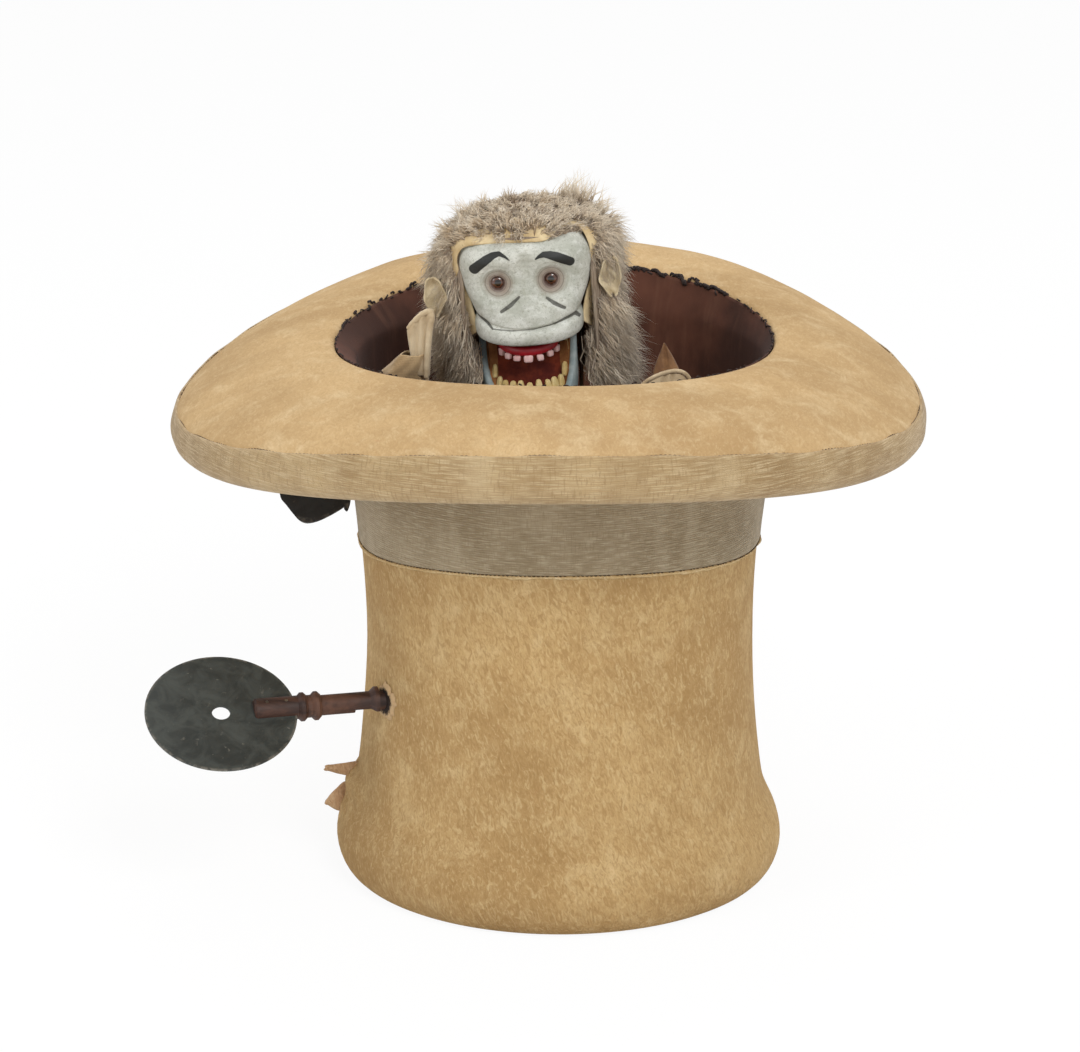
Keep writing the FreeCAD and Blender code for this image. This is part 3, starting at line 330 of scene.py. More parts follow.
class Finish:
    """One procedural material."""

    def __init__(self, name):
        self.material = bpy.data.materials.new(name)
        self.material.use_nodes = True
        self.tree = self.material.node_tree
        self.tree.nodes.clear()
        self.place = self.node("TexCoord", {}, {}, "Object")

    def node(self, kind, settings, inputs, output=0):
        """Any node: its settings first, then the values or links of its sockets."""
        node = self.tree.nodes.new(kind if kind.startswith("Shader") else "ShaderNode" + kind)
        for name, value in settings.items():
            if name == "stops":
                ramp = node.color_ramp
                while len(ramp.elements) < len(value):
                    ramp.elements.new(0.5)
                for element, (position, colour) in zip(ramp.elements, value):
                    element.position = position
                    element.color = colour
            else:
                setattr(node, name, value)
        for name, value in inputs.items():
            socket = node.inputs[name]
            if isinstance(value, Wire):
                self.tree.links.new(value.socket, socket)
            else:
                socket.default_value = value
        return Wire(self, node.outputs[output])

    def sum(self, operation, first, second=0.0):
        return self.node("Math", {"operation": operation}, {0: first, 1: second})

    def held(self, value):
        """Kept between 0 and 1."""
        return self.node("Clamp", {}, {"Value": value})

    def step(self, value, low, high):
        """0 below low, 1 above high, smooth between."""
        return self.node("MapRange", {"interpolation_type": "SMOOTHSTEP"},
                         {"Value": value, "From Min": low, "From Max": high})

    def mixed(self, share, first, second, blend="MIX"):
        return self.node("Mix", {"data_type": "RGBA", "blend_type": blend},
                         {0: share, 6: first, 7: second}, 2)

    def stretched(self, x, y, z, place=None):
        """The place with each axis scaled, for long grain."""
        return self.node("VectorMath", {"operation": "MULTIPLY"},
                         {0: place or self.place, 1: (x, y, z)})

    def cloud(self, scale, detail=3.0, rough=0.55, place=None, distortion=0.0):
        """Noise from 0 to 1; scale is features per metre."""
        return self.node("TexNoise", {}, {"Vector": place or self.place, "Scale": scale, "Detail": detail,
                                          "Roughness": rough, "Distortion": distortion})

    def cells(self, scale, place=None, feature="F1", output="Distance"):
        return self.node("TexVoronoi", {"feature": feature},
                         {"Vector": place or self.place, "Scale": scale}, output)

    def axis(self, name, place=None):
        """One coordinate, in metres."""
        return self.node("SeparateXYZ", {}, {"Vector": place or self.place}, name)

    def around(self):
        """Cylinder coordinates about the hat's axis: arc length, height and radius."""
        x, y, z = self.axis("X"), self.axis("Y"), self.axis("Z")
        angle = self.sum("ARCTAN2", y, x)
        radius = self.sum("SQRT", x * x + y * y)
        return angle, z, radius

    def vector(self, x, y, z):
        return self.node("CombineXYZ", {}, {"X": x, "Y": y, "Z": z})

    def bump(self, height, strength, distance, normal=None):
        inputs = {"Height": height, "Strength": strength, "Distance": distance * MM}
        if normal is not None:
            inputs["Normal"] = normal
        return self.node("Bump", {}, inputs)

    def made(self, **inputs):
        """Closes the material with its surface shader."""
        names = {key: key.replace("_", " ").title().replace("Ior", "IOR") for key in inputs}
        shader = self.node("BsdfPrincipled", {}, {names[key]: value for key, value in inputs.items()})
        output = self.tree.nodes.new("ShaderNodeOutputMaterial")
        self.tree.links.new(shader.socket, output.inputs["Surface"])
        return self.material


def plush_finish(name, base, worn, dark, grain=(1.0, 1.0, 0.42), lean=0.25, nap=1.0):
    """Short worn pile: faint broad mottling, wormlike tufts that lean one way, thin patches."""
    f = Finish(name)
    broad = f.cloud(9.0, 4.0, 0.6)
    patch = f.cloud(38.0, 5.0, 0.65, distortion=0.6)
    x, y, z = f.axis("X"), f.axis("Y"), f.axis("Z")
    leaning = f.stretched(*grain, f.vector(x + z * lean, y, z))
    tuft = f.cloud(330.0, 3.0, 0.6, leaning, distortion=1.3)
    strand = f.cloud(760.0, 3.0, 0.7, leaning, distortion=0.5)
    thin = f.cloud(110.0, 5.0, 0.7, distortion=0.8)
    colour = f.mixed(f.step(broad, 0.3, 0.72) * 0.7 + 0.3, dark, base)
    colour = f.mixed(f.step(patch, 0.46, 0.74) * 0.4, colour, worn)
    colour = f.mixed(f.step(tuft, 0.52, 0.34) * (0.5 * nap), colour, dark)
    colour = f.mixed(f.step(tuft, 0.5, 0.7) * (0.45 * nap), colour, worn)
    colour = f.mixed(f.step(strand, 0.52, 0.3) * (0.4 * nap), colour, dark)
    colour = f.mixed(f.step(thin, 0.62, 0.76) * 0.3, colour, tone(186, 140, 104))
    normal = f.bump(tuft + strand * 0.5, 0.7 * nap, 1.3)
    return f.made(base_color=colour, roughness=0.95, sheen_weight=0.2, sheen_roughness=0.5,
                  sheen_tint=tone(226, 200, 160), specular_ior_level=0.15, normal=normal)


crown_finish = plush_finish("worn_crown_plush", tone(198, 166, 116), tone(222, 198, 152), tone(158, 124, 78))
brim_finish = plush_finish("worn_brim_plush", tone(202, 170, 124), tone(226, 204, 164), tone(164, 132, 90),
                           (1.0, 0.5, 1.0), 0.0, 0.5)


def ribbed_finish(name, base, pale, dark, rib, along_height):
    """Ribbed ribbon: fine ribs, slub threads, rubbed tone, and painted highlight and painted shade of soft
    wrinkles.
    """
    f = Finish(name)
    angle, height, radius = f.around()
    arc = angle * 0.15
    ribs = f.sum("SINE", (height if along_height else arc) * (2 * math.pi / (rib * MM)))
    thread = f.cloud(260.0, 3.0, 0.6, f.vector(arc * 0.35, height * 3.0, 0.0))
    cross = f.cloud(300.0, 2.0, 0.6, f.vector(arc * 4.0, height * 0.4, 0.0))
    broad = f.cloud(14.0, 4.0, 0.6)
    colour = f.mixed(f.step(broad, 0.35, 0.7), dark, base)
    colour = f.mixed(f.step(thread, 0.42, 0.68) * 0.75, colour, pale)
    colour = f.mixed(f.step(cross, 0.5, 0.68) * 0.6, colour, dark)
    # fold: painted highlight and painted shade of soft wrinkles that the shape does not have, paler on one
    # side, darker on the other
    fold = f.cloud(26.0, 3.0, 0.5, f.vector(arc, height * 0.12, 0.0))
    colour = f.mixed(f.step(fold, 0.52, 0.66) * 0.4, colour, pale)
    colour = f.mixed(f.step(fold, 0.46, 0.34) * 0.35, colour, dark)
    colour = f.mixed(f.held(ribs * 0.5 + 0.5) * 0.22, colour, dark)
    normal = f.bump(ribs * 0.5 + thread + cross * 0.7, 0.5, 0.5)
    return f.made(base_color=colour, roughness=0.8, sheen_weight=0.15, specular_ior_level=0.3, normal=normal)


band_finish = ribbed_finish("hat_band_grosgrain", tone(168, 153, 126), tone(190, 176, 150),
                            tone(140, 124, 96),
                            1.6, True)
ribbon_finish = ribbed_finish("edge_ribbon_weave", tone(186, 160, 118), tone(206, 184, 146),
                              tone(152, 124, 84), 1.4, True)


def lining_finish():
    f = Finish("lining_cotton")
    angle, height, radius = f.around()
    broad = f.cloud(12.0, 4.0, 0.6)
    weave = f.cloud(700.0, 2.0, 0.6, f.vector(angle * 0.6, height * 0.3, 0.0))
    streak = f.cloud(45.0, 4.0, 0.65, f.vector(angle * 0.15, height * 0.15, 0.0))
    colour = f.mixed(f.step(broad, 0.35, 0.7), tone(66, 38, 27), tone(104, 64, 48))
    colour = f.mixed(f.step(streak, 0.5, 0.8) * 0.5, colour, tone(128, 88, 68))
    return f.made(base_color=colour, roughness=0.75, sheen_weight=0.05,
                  specular_ior_level=0.25, normal=f.bump(weave + streak * 0.6, 0.4, 0.5))


def wood_finish(name, pale, dark, gloss=0.6, direction="X", ring=60.0, worn=None):
    """Wood: long grain, pores and rubbed places."""
    f = Finish(name)
    stretch = {"X": (0.08, 1.0, 1.0), "Y": (1.0, 0.08, 1.0), "Z": (1.0, 1.0, 0.08)}[direction]
    along = f.stretched(*stretch)
    grain = f.cloud(ring, 5.0, 0.6, along, distortion=1.6)
    pores = f.cloud(ring * 14, 3.0, 0.7, along)
    wear = f.cloud(30.0, 4.0, 0.6)
    colour = f.mixed(f.step(grain, 0.32, 0.68), dark, pale)
    colour = f.mixed(f.step(pores, 0.55, 0.8) * 0.5, colour, dark)
    if worn:
        colour = f.mixed(f.step(wear, 0.56, 0.72) * 0.5, colour, worn)
    rough = gloss + f.step(wear, 0.4, 0.7) * 0.15
    return f.made(base_color=colour, roughness=rough, specular_ior_level=0.4,
                  normal=f.bump(grain * 0.5 + pores, 0.35, 0.4))


def metal_finish(name, pale, dark, rust, roughness, metallic=1.0):
    """Old metal: brushed, stained, lightly pitted."""
    f = Finish(name)
    stain = f.cloud(55.0, 5.0, 0.65)
    pits = f.cloud(900.0, 3.0, 0.7)
    colour = f.mixed(f.step(stain, 0.35, 0.7), dark, pale)
    colour = f.mixed(f.step(stain, 0.62, 0.78) * 0.6, colour, rust)
    rough = roughness + f.step(stain, 0.4, 0.75) * 0.25
    return f.made(base_color=colour, roughness=rough, metallic=metallic,
                  normal=f.bump(pits, 0.25, 0.2))


def painted_plate_finish(name, paint, pale, bare, origin, radius, scuffs=1.0):
    """Satin paint on a metal plate, scuffed and worn through near its rim."""
    f = Finish(name)
    away = f.node("VectorMath", {"operation": "DISTANCE"},
                  {0: f.place, 1: tuple(part * MM for part in origin)}, "Value")
    smear = f.cloud(60.0, 5.0, 0.65, distortion=0.8)
    scratch = f.cloud(240.0, 4.0, 0.7, f.stretched(1.0, 0.25, 0.6))
    spots = f.cloud(170.0, 4.0, 0.6)
    colour = f.mixed(f.step(smear, 0.35, 0.72), paint, pale)
    colour = f.mixed(f.step(scratch, 0.63, 0.74) * 0.45 * scuffs, colour, bare)
    rim = f.step(away, (radius - 2.2) * MM, radius * MM)
    colour = f.mixed(rim * f.step(spots, 0.4, 0.6) * 0.8, colour, bare)
    worn = f.step(spots, 0.66, 0.74) * scuffs
    colour = f.mixed(worn * 0.55, colour, bare)
    rough = 0.5 + f.step(smear, 0.4, 0.7) * 0.2
    return f.made(base_color=colour, roughness=rough, metallic=0.25, specular_ior_level=0.4,
                  normal=f.bump(smear * 0.5 + scratch * 0.4 - worn * 0.5, 0.3, 0.35))


def cloth_finish(name, pale, dark, weave=1.1, roughness=0.9):
    """Plain woven cloth."""
    f = Finish(name)
    x, y, z = f.axis("X"), f.axis("Y"), f.axis("Z")
    turn = 2 * math.pi / (weave * MM)
    warp = f.sum("SINE", (x + y * 0.7) * turn)
    weft = f.sum("SINE", z * turn)
    stain = f.cloud(40.0, 4.0, 0.6)
    slub = f.cloud(420.0, 3.0, 0.65)
    colour = f.mixed(f.step(stain, 0.35, 0.7), dark, pale)
    colour = f.mixed(f.held(warp * weft * 0.5 + 0.5) * 0.3, colour, dark)
    return f.made(base_color=colour, roughness=roughness, sheen_weight=0.2, specular_ior_level=0.2,
                  normal=f.bump(warp * 0.5 + weft * 0.5 + slub * 2.0, 0.4, 0.3))


# ---------------------------------------------------------------- hat

def lump(place, scale, amount, seed=0.0):
    """Smooth unevenness of stuffed or pasted cloth."""
    return noise.noise(Vector(place) * scale + Vector((seed, seed, seed))) * amount


def crown_line(radius, height):
    def line(angle):
        place = round_place(angle, radius, radius, height)
        uneven = lump(place, 0.011, 1.6, 3.1) + lump(place, 0.03, 0.5, 9.2)
        fade = min(1.0, height / 30.0)
        return round_place(angle, radius + uneven * fade, radius + uneven * fade, height)
    return line


def crown_radius(height):
    for (low_radius, low), (high_radius, high) in zip(crown_profile, crown_profile[1:]):
        if low <= height <= high:
            return low_radius + (high_radius - low_radius) * (height - low) / (high - low)
    return crown_profile[-1][0]


lining_material = lining_finish()
crown = ring_sheet("crown_plush_skin", [crown_line(radius, height) for radius, height in crown_profile])
smoothed(crown, 1)
thickened(crown, 2.0)
round_shaded(crown)
dressed(crown, "hat", "plush", crown_finish, "crown_plush")


def band_line(share, out):
    def line(angle):
        low = swing(band_low, band_sag, angle)
        high = swing(neck_height + 1.5, neck_sag, angle)
        height = low + (high - low) * share
        radius = crown_radius(height) + 1.2 + out
        place = round_place(angle, radius, radius, height)
        radius += lump(place, 0.011, 1.6, 3.1) + 0.35 * math.sin(9 * angle + 5 * share) * share
        return round_place(angle, radius, radius, height)
    return line


band = ring_sheet("hat_band_ribbon", [band_line(share, out) for share, out in
                                      ((0.0, -0.9), (0.0, 0.2), (0.02, 0.7), (0.05, 0.4), (0.2, 0.3),
                                       (0.4, 0.3), (0.6, 0.3), (0.8, 0.3), (1.0, 0.3))])
smoothed(band, 1)
thickened(band, 0.8)
round_shaded(band)
dressed(band, "hat", "band", band_finish, "hat_band")


def brim_line(share, lift, drop=0.0):
    """A ring of the brim's top; share goes from the mouth to the seam."""
    def line(angle):
        opening, seam = opening_level(angle), seam_level(angle)
        half_width = opening_radius + (brim_half_width - opening_radius) * share
        half_depth = opening_radius + (brim_half_depth - opening_radius) * share
        shift = opening_shift + (brim_shift - opening_shift) * share
        height = opening + (seam - opening) * max(share, 0.0) + lift - drop
        place = round_place(angle, half_width, half_depth, height, shift)
        soft = max(0.0, min(1.0, 4 * share * (1.15 - share)))
        place.z += (lump(place, 0.012, 2.4, 5.0) + lump(place, 0.035, 0.8, 1.0)) * soft
        pucker = math.exp(-((share - 0.93) / 0.05) ** 2)
        place.z += pucker * 0.35 * math.sin(46 * angle) * (0.6 + 0.4 * math.sin(5 * angle))
        return place
    return line


brim_top = ring_sheet("brim_top_plush", [brim_line(share, lift) for share, lift in
                                         ((-0.030, -8.0), (-0.022, -3.5), (-0.005, -0.6), (0.03, 1.2),
                                          (0.10, 3.8),
                                          (0.22, 6.6), (0.36, 8.6), (0.50, 9.4), (0.64, 9.2), (0.78, 7.6),
                                          (0.88, 5.4), (0.95, 2.8), (0.99, 0.6), (1.0, -1.2))], 144)
smoothed(brim_top, 1)
thickened(brim_top, 2.0)
round_shaded(brim_top)
dressed(brim_top, "hat", "plush", brim_finish, "brim_top_cover")


def edge_line(share, out):
    """A ring of the brim's binding; share goes from the seam down to the hem."""
    def line(angle):
        seam = seam_level(angle)
        depth = swing(ribbon_height, ribbon_swing, angle)
        place = round_place(angle, brim_half_width + out, brim_half_depth + out, seam - depth * share,
                            brim_shift)
        wave = 0.5 * math.sin(31 * angle + 2) * math.sin(math.pi * share)
        place.x += math.cos(angle) * wave
        place.y += math.sin(angle) * wave
        place.z += max(0.0, 1 - 5 * abs(share)) * (0.5 * math.sin(23 * angle) + 0.4
                                                   * math.sin(39 * angle + 1))
        return place
    return line


binding = ring_sheet("brim_ribbon_binding", [edge_line(share, out) for share, out in
                                             ((-0.03, -1.6), (-0.05, 0.0), (-0.01, 1.3), (0.12, 2.6),
                                              (0.3, 3.8), (0.5, 4.2), (0.7, 3.6), (0.86, 1.6), (0.98, -1.6),
                                              (1.03, -4.4))], 144)
smoothed(binding, 1)
thickened(binding, 0.9)
round_shaded(binding)
dressed(binding, "hat", "edge_ribbon", ribbon_finish, "brim_ribbon")


def under_line(share, drop):
    """A ring of the brim's underside; share goes from the hem in to the band."""
    def line(angle):
        low = seam_level(angle) - swing(ribbon_height, ribbon_swing, angle)
        neck = swing(neck_height, neck_sag, angle)
        half_width = brim_half_width - 3.0 + (neck_radius - brim_half_width + 3.0) * share
        half_depth = brim_half_depth - 3.0 + (neck_radius - brim_half_depth + 3.0) * share
        shift = brim_shift * (1 - share)
        height = low + (neck - low) * share - drop
        place = round_place(angle, half_width, half_depth, height, shift)
        place.z += lump(place, 0.014, 1.6, 7.0) * 4 * share * (1 - share)
        return place
    return line


brim_under = ring_sheet("brim_under_plush", [under_line(share, drop) for share, drop in
                                             ((-0.01, -3.0), (0.0, -0.5), (0.04, 1.0), (0.15, 3.0),
                                              (0.35, 4.4),
                                              (0.55, 4.0), (0.75, 2.6), (0.9, 0.8), (1.0, -0.6))], 144)
smoothed(brim_under, 1)
thickened(brim_under, 1.5)
round_shaded(brim_under)
dressed(brim_under, "hat", "plush", brim_finish, "brim_under_cover")


def lining_line(share):
    """A ring of the lining; share 0 is at the shoulder board, 1 at the mouth."""
    def line(angle):
        if share <= 0.85:
            height = shoulder_top + 1.0 + (shell_edge - shoulder_top - 1.0) * share / 0.85
            fold = 0.7 * math.sin(17 * angle + 4 * share) + 0.5 * math.sin(41 * angle - 3 * share) - 1.2
            radius = 133.2 + 0.065 * (height - 185.0) + fold * (1 - share / 0.85)
            return round_place(angle, radius, radius, height)
        flare = (share - 0.85) / 0.15
        height = shell_edge + (opening_level(angle) - 1.5 - shell_edge) * flare
        radius = 146.4 + 10.6 * flare
        return round_place(angle, radius, radius, height, opening_shift * flare)
    return line


lining = ring_sheet("lining_cloth", [lining_line(share) for share in
                                     (0.0, 0.12, 0.25, 0.4, 0.55, 0.7, 0.8, 0.84, 0.86, 0.92, 0.97, 1.0)])
smoothed(lining, 1)
editing(lining)
bpy.ops.mesh.select_all(action="SELECT")
bpy.ops.mesh.flip_normals()
done_editing()
thickened(lining, 0.8)
round_shaded(lining)
dressed(lining, "hat", "lining", lining_material, "lining")


def thread_finish(name, pale, dark):
    """Waxed thread with a twist."""
    f = Finish(name)
    twist = f.cloud(900.0, 2.0, 0.6)
    colour = f.mixed(f.step(twist, 0.35, 0.7), dark, pale)
    return f.made(base_color=colour, roughness=0.85, normal=f.bump(twist, 0.4, 0.3))


def band_seam(angle):
    low = swing(band_low, band_sag, angle)
    radius = crown_radius(low) + 1.2
    place = round_place(angle, radius, radius, low)
    radius += 0.5 + lump(place, 0.011, 1.6, 3.1)
    return round_place(angle, radius, radius, low - 0.2), Vector((math.cos(angle), math.sin(angle), 0.0))


def piping_line(out, up):
    """The combed-up pile under the band's lower edge."""
    def line(angle):
        place, away = band_seam(angle)
        full = 0.7 + 0.5 * noise.noise(place * 0.05) + 0.3 * noise.noise(place * 0.3)
        return place + away * (out * full - 1.0) + Vector((0.0, 0.0, up * full - 0.4))
    return line


def edge_seam(angle):
    way = Vector((0.5 * math.cos(angle), 0.5 * math.sin(angle), 0.86))
    wave = 0.5 * math.sin(23 * angle) + 0.4 * math.sin(39 * angle + 1)
    return (round_place(angle, brim_half_width - 1.2, brim_half_depth - 1.2, seam_level(angle) + 1.0 + wave,
                        brim_shift), way)


def mouth_seam(angle):
    way = Vector((-0.75 * math.cos(angle), -0.75 * math.sin(angle), 0.6))
    ragged = 0.7 * math.sin(61 * angle) + 0.5 * math.sin(97 * angle)
    reach = opening_radius - 3.6 + 0.5 * ragged
    return round_place(angle, reach, reach, opening_level(angle) - 1.3 + ragged, opening_shift), way


def torn_seam(angle):
    """Where the lining has torn at the back: its ends stray onto the pile."""
    place, way = mouth_seam(angle)
    stray = 0.9 + 1.0 * math.sin(47 * angle) + 0.8 * math.sin(83 * angle)
    reach = Vector((math.cos(angle), math.sin(angle), 0.5))
    return place + reach * stray + Vector((0.0, 0.0, 0.7)), Vector((-0.5 * math.cos(angle),
                                                                    -0.5 * math.sin(angle), 0.8))


brown_thread = thread_finish("brown_thread", tone(112, 88, 60), tone(74, 56, 38))
dark_thread = thread_finish("dark_thread", tone(62, 46, 40), tone(34, 25, 24))
pale_pile = plush_finish("pale_combed_pile", tone(216, 192, 146), tone(236, 220, 184), tone(186, 154, 104))
piping = ring_sheet("band_pile_edge", [piping_line(out, up) for out, up in
                                       ((0.0, 0.6), (1.6, 0.5), (2.3, -0.5), (1.9, -1.8), (0.0, -2.8))], 240)
dressed(round_shaded(piping), "hat", "plush", pale_pile)
dressed(stitches("band_stitches", band_seam, 300, 2.0, 0.9, 5, 0.2, 0.86), "hat", "band", brown_thread)
dressed(stitches("binding_stitches", edge_seam, 520, 2.9, 0.7, 6, 0.12, 0.94), "hat", "edge_ribbon",
        brown_thread)
dressed(stitches("lining_stitches", mouth_seam, 190, 4.4, 1.2, 7, 0.6, 0.62), "hat", "lining", dark_thread)
dressed(stitches("lining_tatters", torn_seam, 120, 4.4, 2.4, 8, 0.9, 0.75, (36.0, 92.0)), "hat", "lining",
        dark_thread)
dressed(stitches("lining_tatters_left", torn_seam, 60, 3.2, 2.0, 9, 0.8, 0.25, (108.0, 170.0)), "hat",
        "lining", dark_thread)


# ---------------------------------------------------------------- torn and frayed places of the crown

def torn_flap(name, rows, curl):
    """A tongue of torn plush; its rows give the middle's place and half height, root to tip."""
    flap = added(name, bpy.ops.mesh.primitive_grid_add, x_subdivisions=12, y_subdivisions=16, size=2.0)
    for vertex in flap.data.vertices:
        across, along = vertex.co.x, (vertex.co.y + 1) / 2
        x, y, height, half = between(rows, along)
        ragged = 0.5 * math.sin(11 * along + 4 * across) * along
        vertex.co = Vector((x + ragged, y - curl * (1 - across * across) * along,
                            height + (half + ragged) * across)) * MM
    thickened(flap, 1.3, 0.0)
    facing_out(flap)
    return round_shaded(flap)


torn_pile = plush_finish("torn_plush_back", tone(214, 178, 138), tone(230, 206, 168), tone(170, 132, 100))
upper_flap = torn_flap("torn_flap_upper", ((-148.0, -8.0, 72.5, 6.6), (-154.0, -8.5, 72.8, 5.6),
                                           (-160.0, -9.0, 73.2, 4.2),
                                           (-166.0, -9.5, 73.8, 3.0), (-171.0, -9.8, 74.2, 2.0),
                                           (-173.6, -10.0, 74.0, 0.8)), 3.0)
lower_flap = torn_flap("torn_flap_lower", ((-154.0, -6.0, 50.5, 13.0), (-160.0, -6.5, 50.3, 11.4),
                                           (-164.5, -7.0, 48.8, 9.0), (-168.5, -7.0, 47.8, 5.8),
                                           (-171.0, -7.0, 46.8, 3.0), (-173.6, -7.0, 45.8, 0.7)), 2.0)
flaps = joined("torn_plush_flaps", [upper_flap, lower_flap])
dressed(flaps, "hat", "plush", torn_pile)

loose = added("loosened_plush", bpy.ops.mesh.primitive_grid_add, x_subdivisions=40, y_subdivisions=36,
              size=2.0)
for vertex in loose.data.vertices:
    angle = math.radians(188.0 + 17.0 * vertex.co.x)
    height = 58.0 + 24.0 * vertex.co.y
    fade = max(0.0, 1 - vertex.co.x ** 4) * max(0.0, 1 - vertex.co.y ** 4)
    lift_off = 7.4 * near(height - 67.0, 8.5) + 2.4 * near(height - 50.0,
                                                           9.0) + 0.8 * math.sin(9 * angle * 6 + height * 0.4)
    radius = crown_radius(height) - 2.0 + fade * (2.2 + lift_off * near(vertex.co.x + 0.2, 0.62))
    vertex.co = round_place(angle, radius, radius, height) * MM
if sum(polygon.normal.x for polygon in loose.data.polygons) > 0:
    loose.data.flip_normals()
dressed(round_shaded(loose), "hat", "plush", crown_finish)


def frayed_hole_shadow_finish():
    """Painted shadow of the hole where the crank goes in: dark in the middle, with frayed, paler threads
    round its edge.
    """
    f = Finish("frayed_hole_edge_painted_shadow")
    away = f.node("Attribute", {"attribute_name": "away"}, {}, "Fac")
    fray = f.cloud(800.0, 4.0, 0.7)
    # the dark middle is painted shadow inside the hole; the paler edge is frayed threads
    colour = f.mixed(f.step(away + (fray - 0.5) * 0.5, 0.6, 0.82), tone(38, 24, 16), tone(196, 166, 126))
    return f.made(base_color=colour, roughness=0.95, normal=f.bump(fray, 0.8, 1.0))


# a sheet on the crown, painted with the hole's shadow and its frayed edge
hole = added("crank_hole_fray_painted_shadow", bpy.ops.mesh.primitive_grid_add, x_subdivisions=26, y_subdivisions=26,
             size=2.0)
away_share = []
for vertex in hole.data.vertices:
    u, v = vertex.co.x, vertex.co.y
    across, up = u * math.sqrt(1 - v * v / 2), v * math.sqrt(1 - u * u / 2)
    reach = min(1.0, math.hypot(across, up))
    turn = math.atan2(up, across)
    ragged = 1.0 + reach * (0.07 * math.sin(5 * turn) + 0.06 * math.sin(11 * turn + 1) + 0.04
                            * math.sin(19 * turn))
    away_share.append(reach)
    angle = math.radians(209.0) + 13.5 * across * ragged / 143.0
    height = 147.2 + 13.0 * up * ragged
    radius = crown_radius(height) + 1.4 - 1.6 * reach ** 6 + 0.8 * near(reach - 0.82, 0.1)
    vertex.co = round_place(angle, radius, radius, height) * MM
carry(hole, "away", away_share)
if sum(polygon.normal.x for polygon in hole.data.polygons) > 0:
    hole.data.flip_normals()
dressed(round_shaded(hole), "hat", "plush", frayed_hole_shadow_finish())

# ---------------------------------------------------------------- head: shared shapes

def head_place(x, ahead, height):
    """Metres in the row frame of a place on the head: right, ahead and up, before it is cocked."""
    turn = Matrix.Rotation(-head_roll, 3, "Y")
    place = turn @ Vector((x, -ahead, height - pivot_height))
    return (place + Vector((neck_x, neck_y, pivot_height))) * MM


def to_stroke(x, height, stroke):
    """Distance from a brush stroke's edge; each of its points gives place and half width."""
    best = 99.0
    for (ax, az, aw), (bx, bz, bw) in zip(stroke, stroke[1:]):
        run = (bx - ax) ** 2 + (bz - az) ** 2
        share = max(0.0, min(1.0, ((x - ax) * (bx - ax) + (height - az) * (bz - az)) / run))
        away = math.hypot(x - ax - share * (bx - ax), height - az - share * (bz - az))
        best = min(best, away - aw - share * (bw - aw))
    return best


face_middle = 2.5
eye_places = ((-17.2, 460.3), (19.8, 460.6))


def eased_stroke(points, steps=6):
    """A brush stroke drawn smoothly through a few points, each a place and a half width."""
    return [tuple(between(points, step / steps)) for step in range(steps + 1)]


left_brow = eased_stroke(((-33, 471, 3.6), (-24, 478, 3), (-15, 482, 1.6), (-8, 477, 0.5)))
right_brow = eased_stroke(((10, 476.5, 0.5), (16, 479.5, 2), (25, 477, 3.3), (34, 472.5, 3.2)))
cheek_marks = (((-16, 441.5, 0.8), (-9, 445.5, 1.1), (-3, 450.5, 0.5)),
               ((16, 448.5, 0.5), (21, 445, 1.1), (28, 441, 0.8)))
left_corner = eased_stroke(((-33, 437, 0.6), (-27.5, 434.5, 0.9), (-23, 430, 0.3)))
# lip_line: a stroke along the lip's crease, carved into the mask and drawn dark as painted shade
lip_line = ((-23, 430, 0), (-10, 428.5, 0), (5, 428.5, 0), (20, 431, 0.2))
right_corner = ((20, 431, 0.3), (28, 433.5, 0.8), (35, 435, 0.9), (38, 432.5, 0.6))
lip_ends = (left_corner, lip_line, right_corner)

# height at the middle, height at the sides, half width, reach ahead
mask_rows = ((419.5, 423.5, 33.0, 46.0), (417.6, 422.0, 35.8, 51.5), (417.8, 422.0, 37.4, 55.6),
             (421.8, 427.0, 38.4, 57.4), (426.0, 433.2, 38.2, 56.6), (428.6, 436.8, 36.6, 53.2),
             (430.6, 439.0, 37.4, 53.2), (436.0, 443.0, 39.2, 51.6), (444.0, 449.0, 41.8, 48.6),
             (452.0, 455.0, 44.2, 45.4), (461.0, 462.0, 46.2, 44.0), (470.0, 470.0, 47.0, 45.2),
             (478.0, 477.0, 46.2, 46.2), (485.0, 483.0, 43.6, 43.6), (490.0, 487.0, 40.4, 38.4),
             (494.0, 489.5, 36.4, 30.0), (496.0, 490.5, 31.0, 20.0))
mask_back_ahead = 15.0


def on_mask(across, up):
    """Place on the mask: across runs -1 to 1 between its edges, up 0 to 1 from lip to top."""
    middle, side, half_width, front = between(mask_rows, up)
    turn = across * math.pi / 2
    share = math.sin(turn)
    x = half_width * share
    height = middle + (side - middle) * abs(share) ** 2.4
    ahead = mask_back_ahead + (front - mask_back_ahead) * max(0.0, 1 - abs(share) ** 2.7) ** (1 / 2.7)
    x += face_middle
    lobe = near(x - 37.0, 11.0) * max(0.0, (up - 0.72) / 0.28)
    height += 5.0 * lobe
    return x, ahead, height


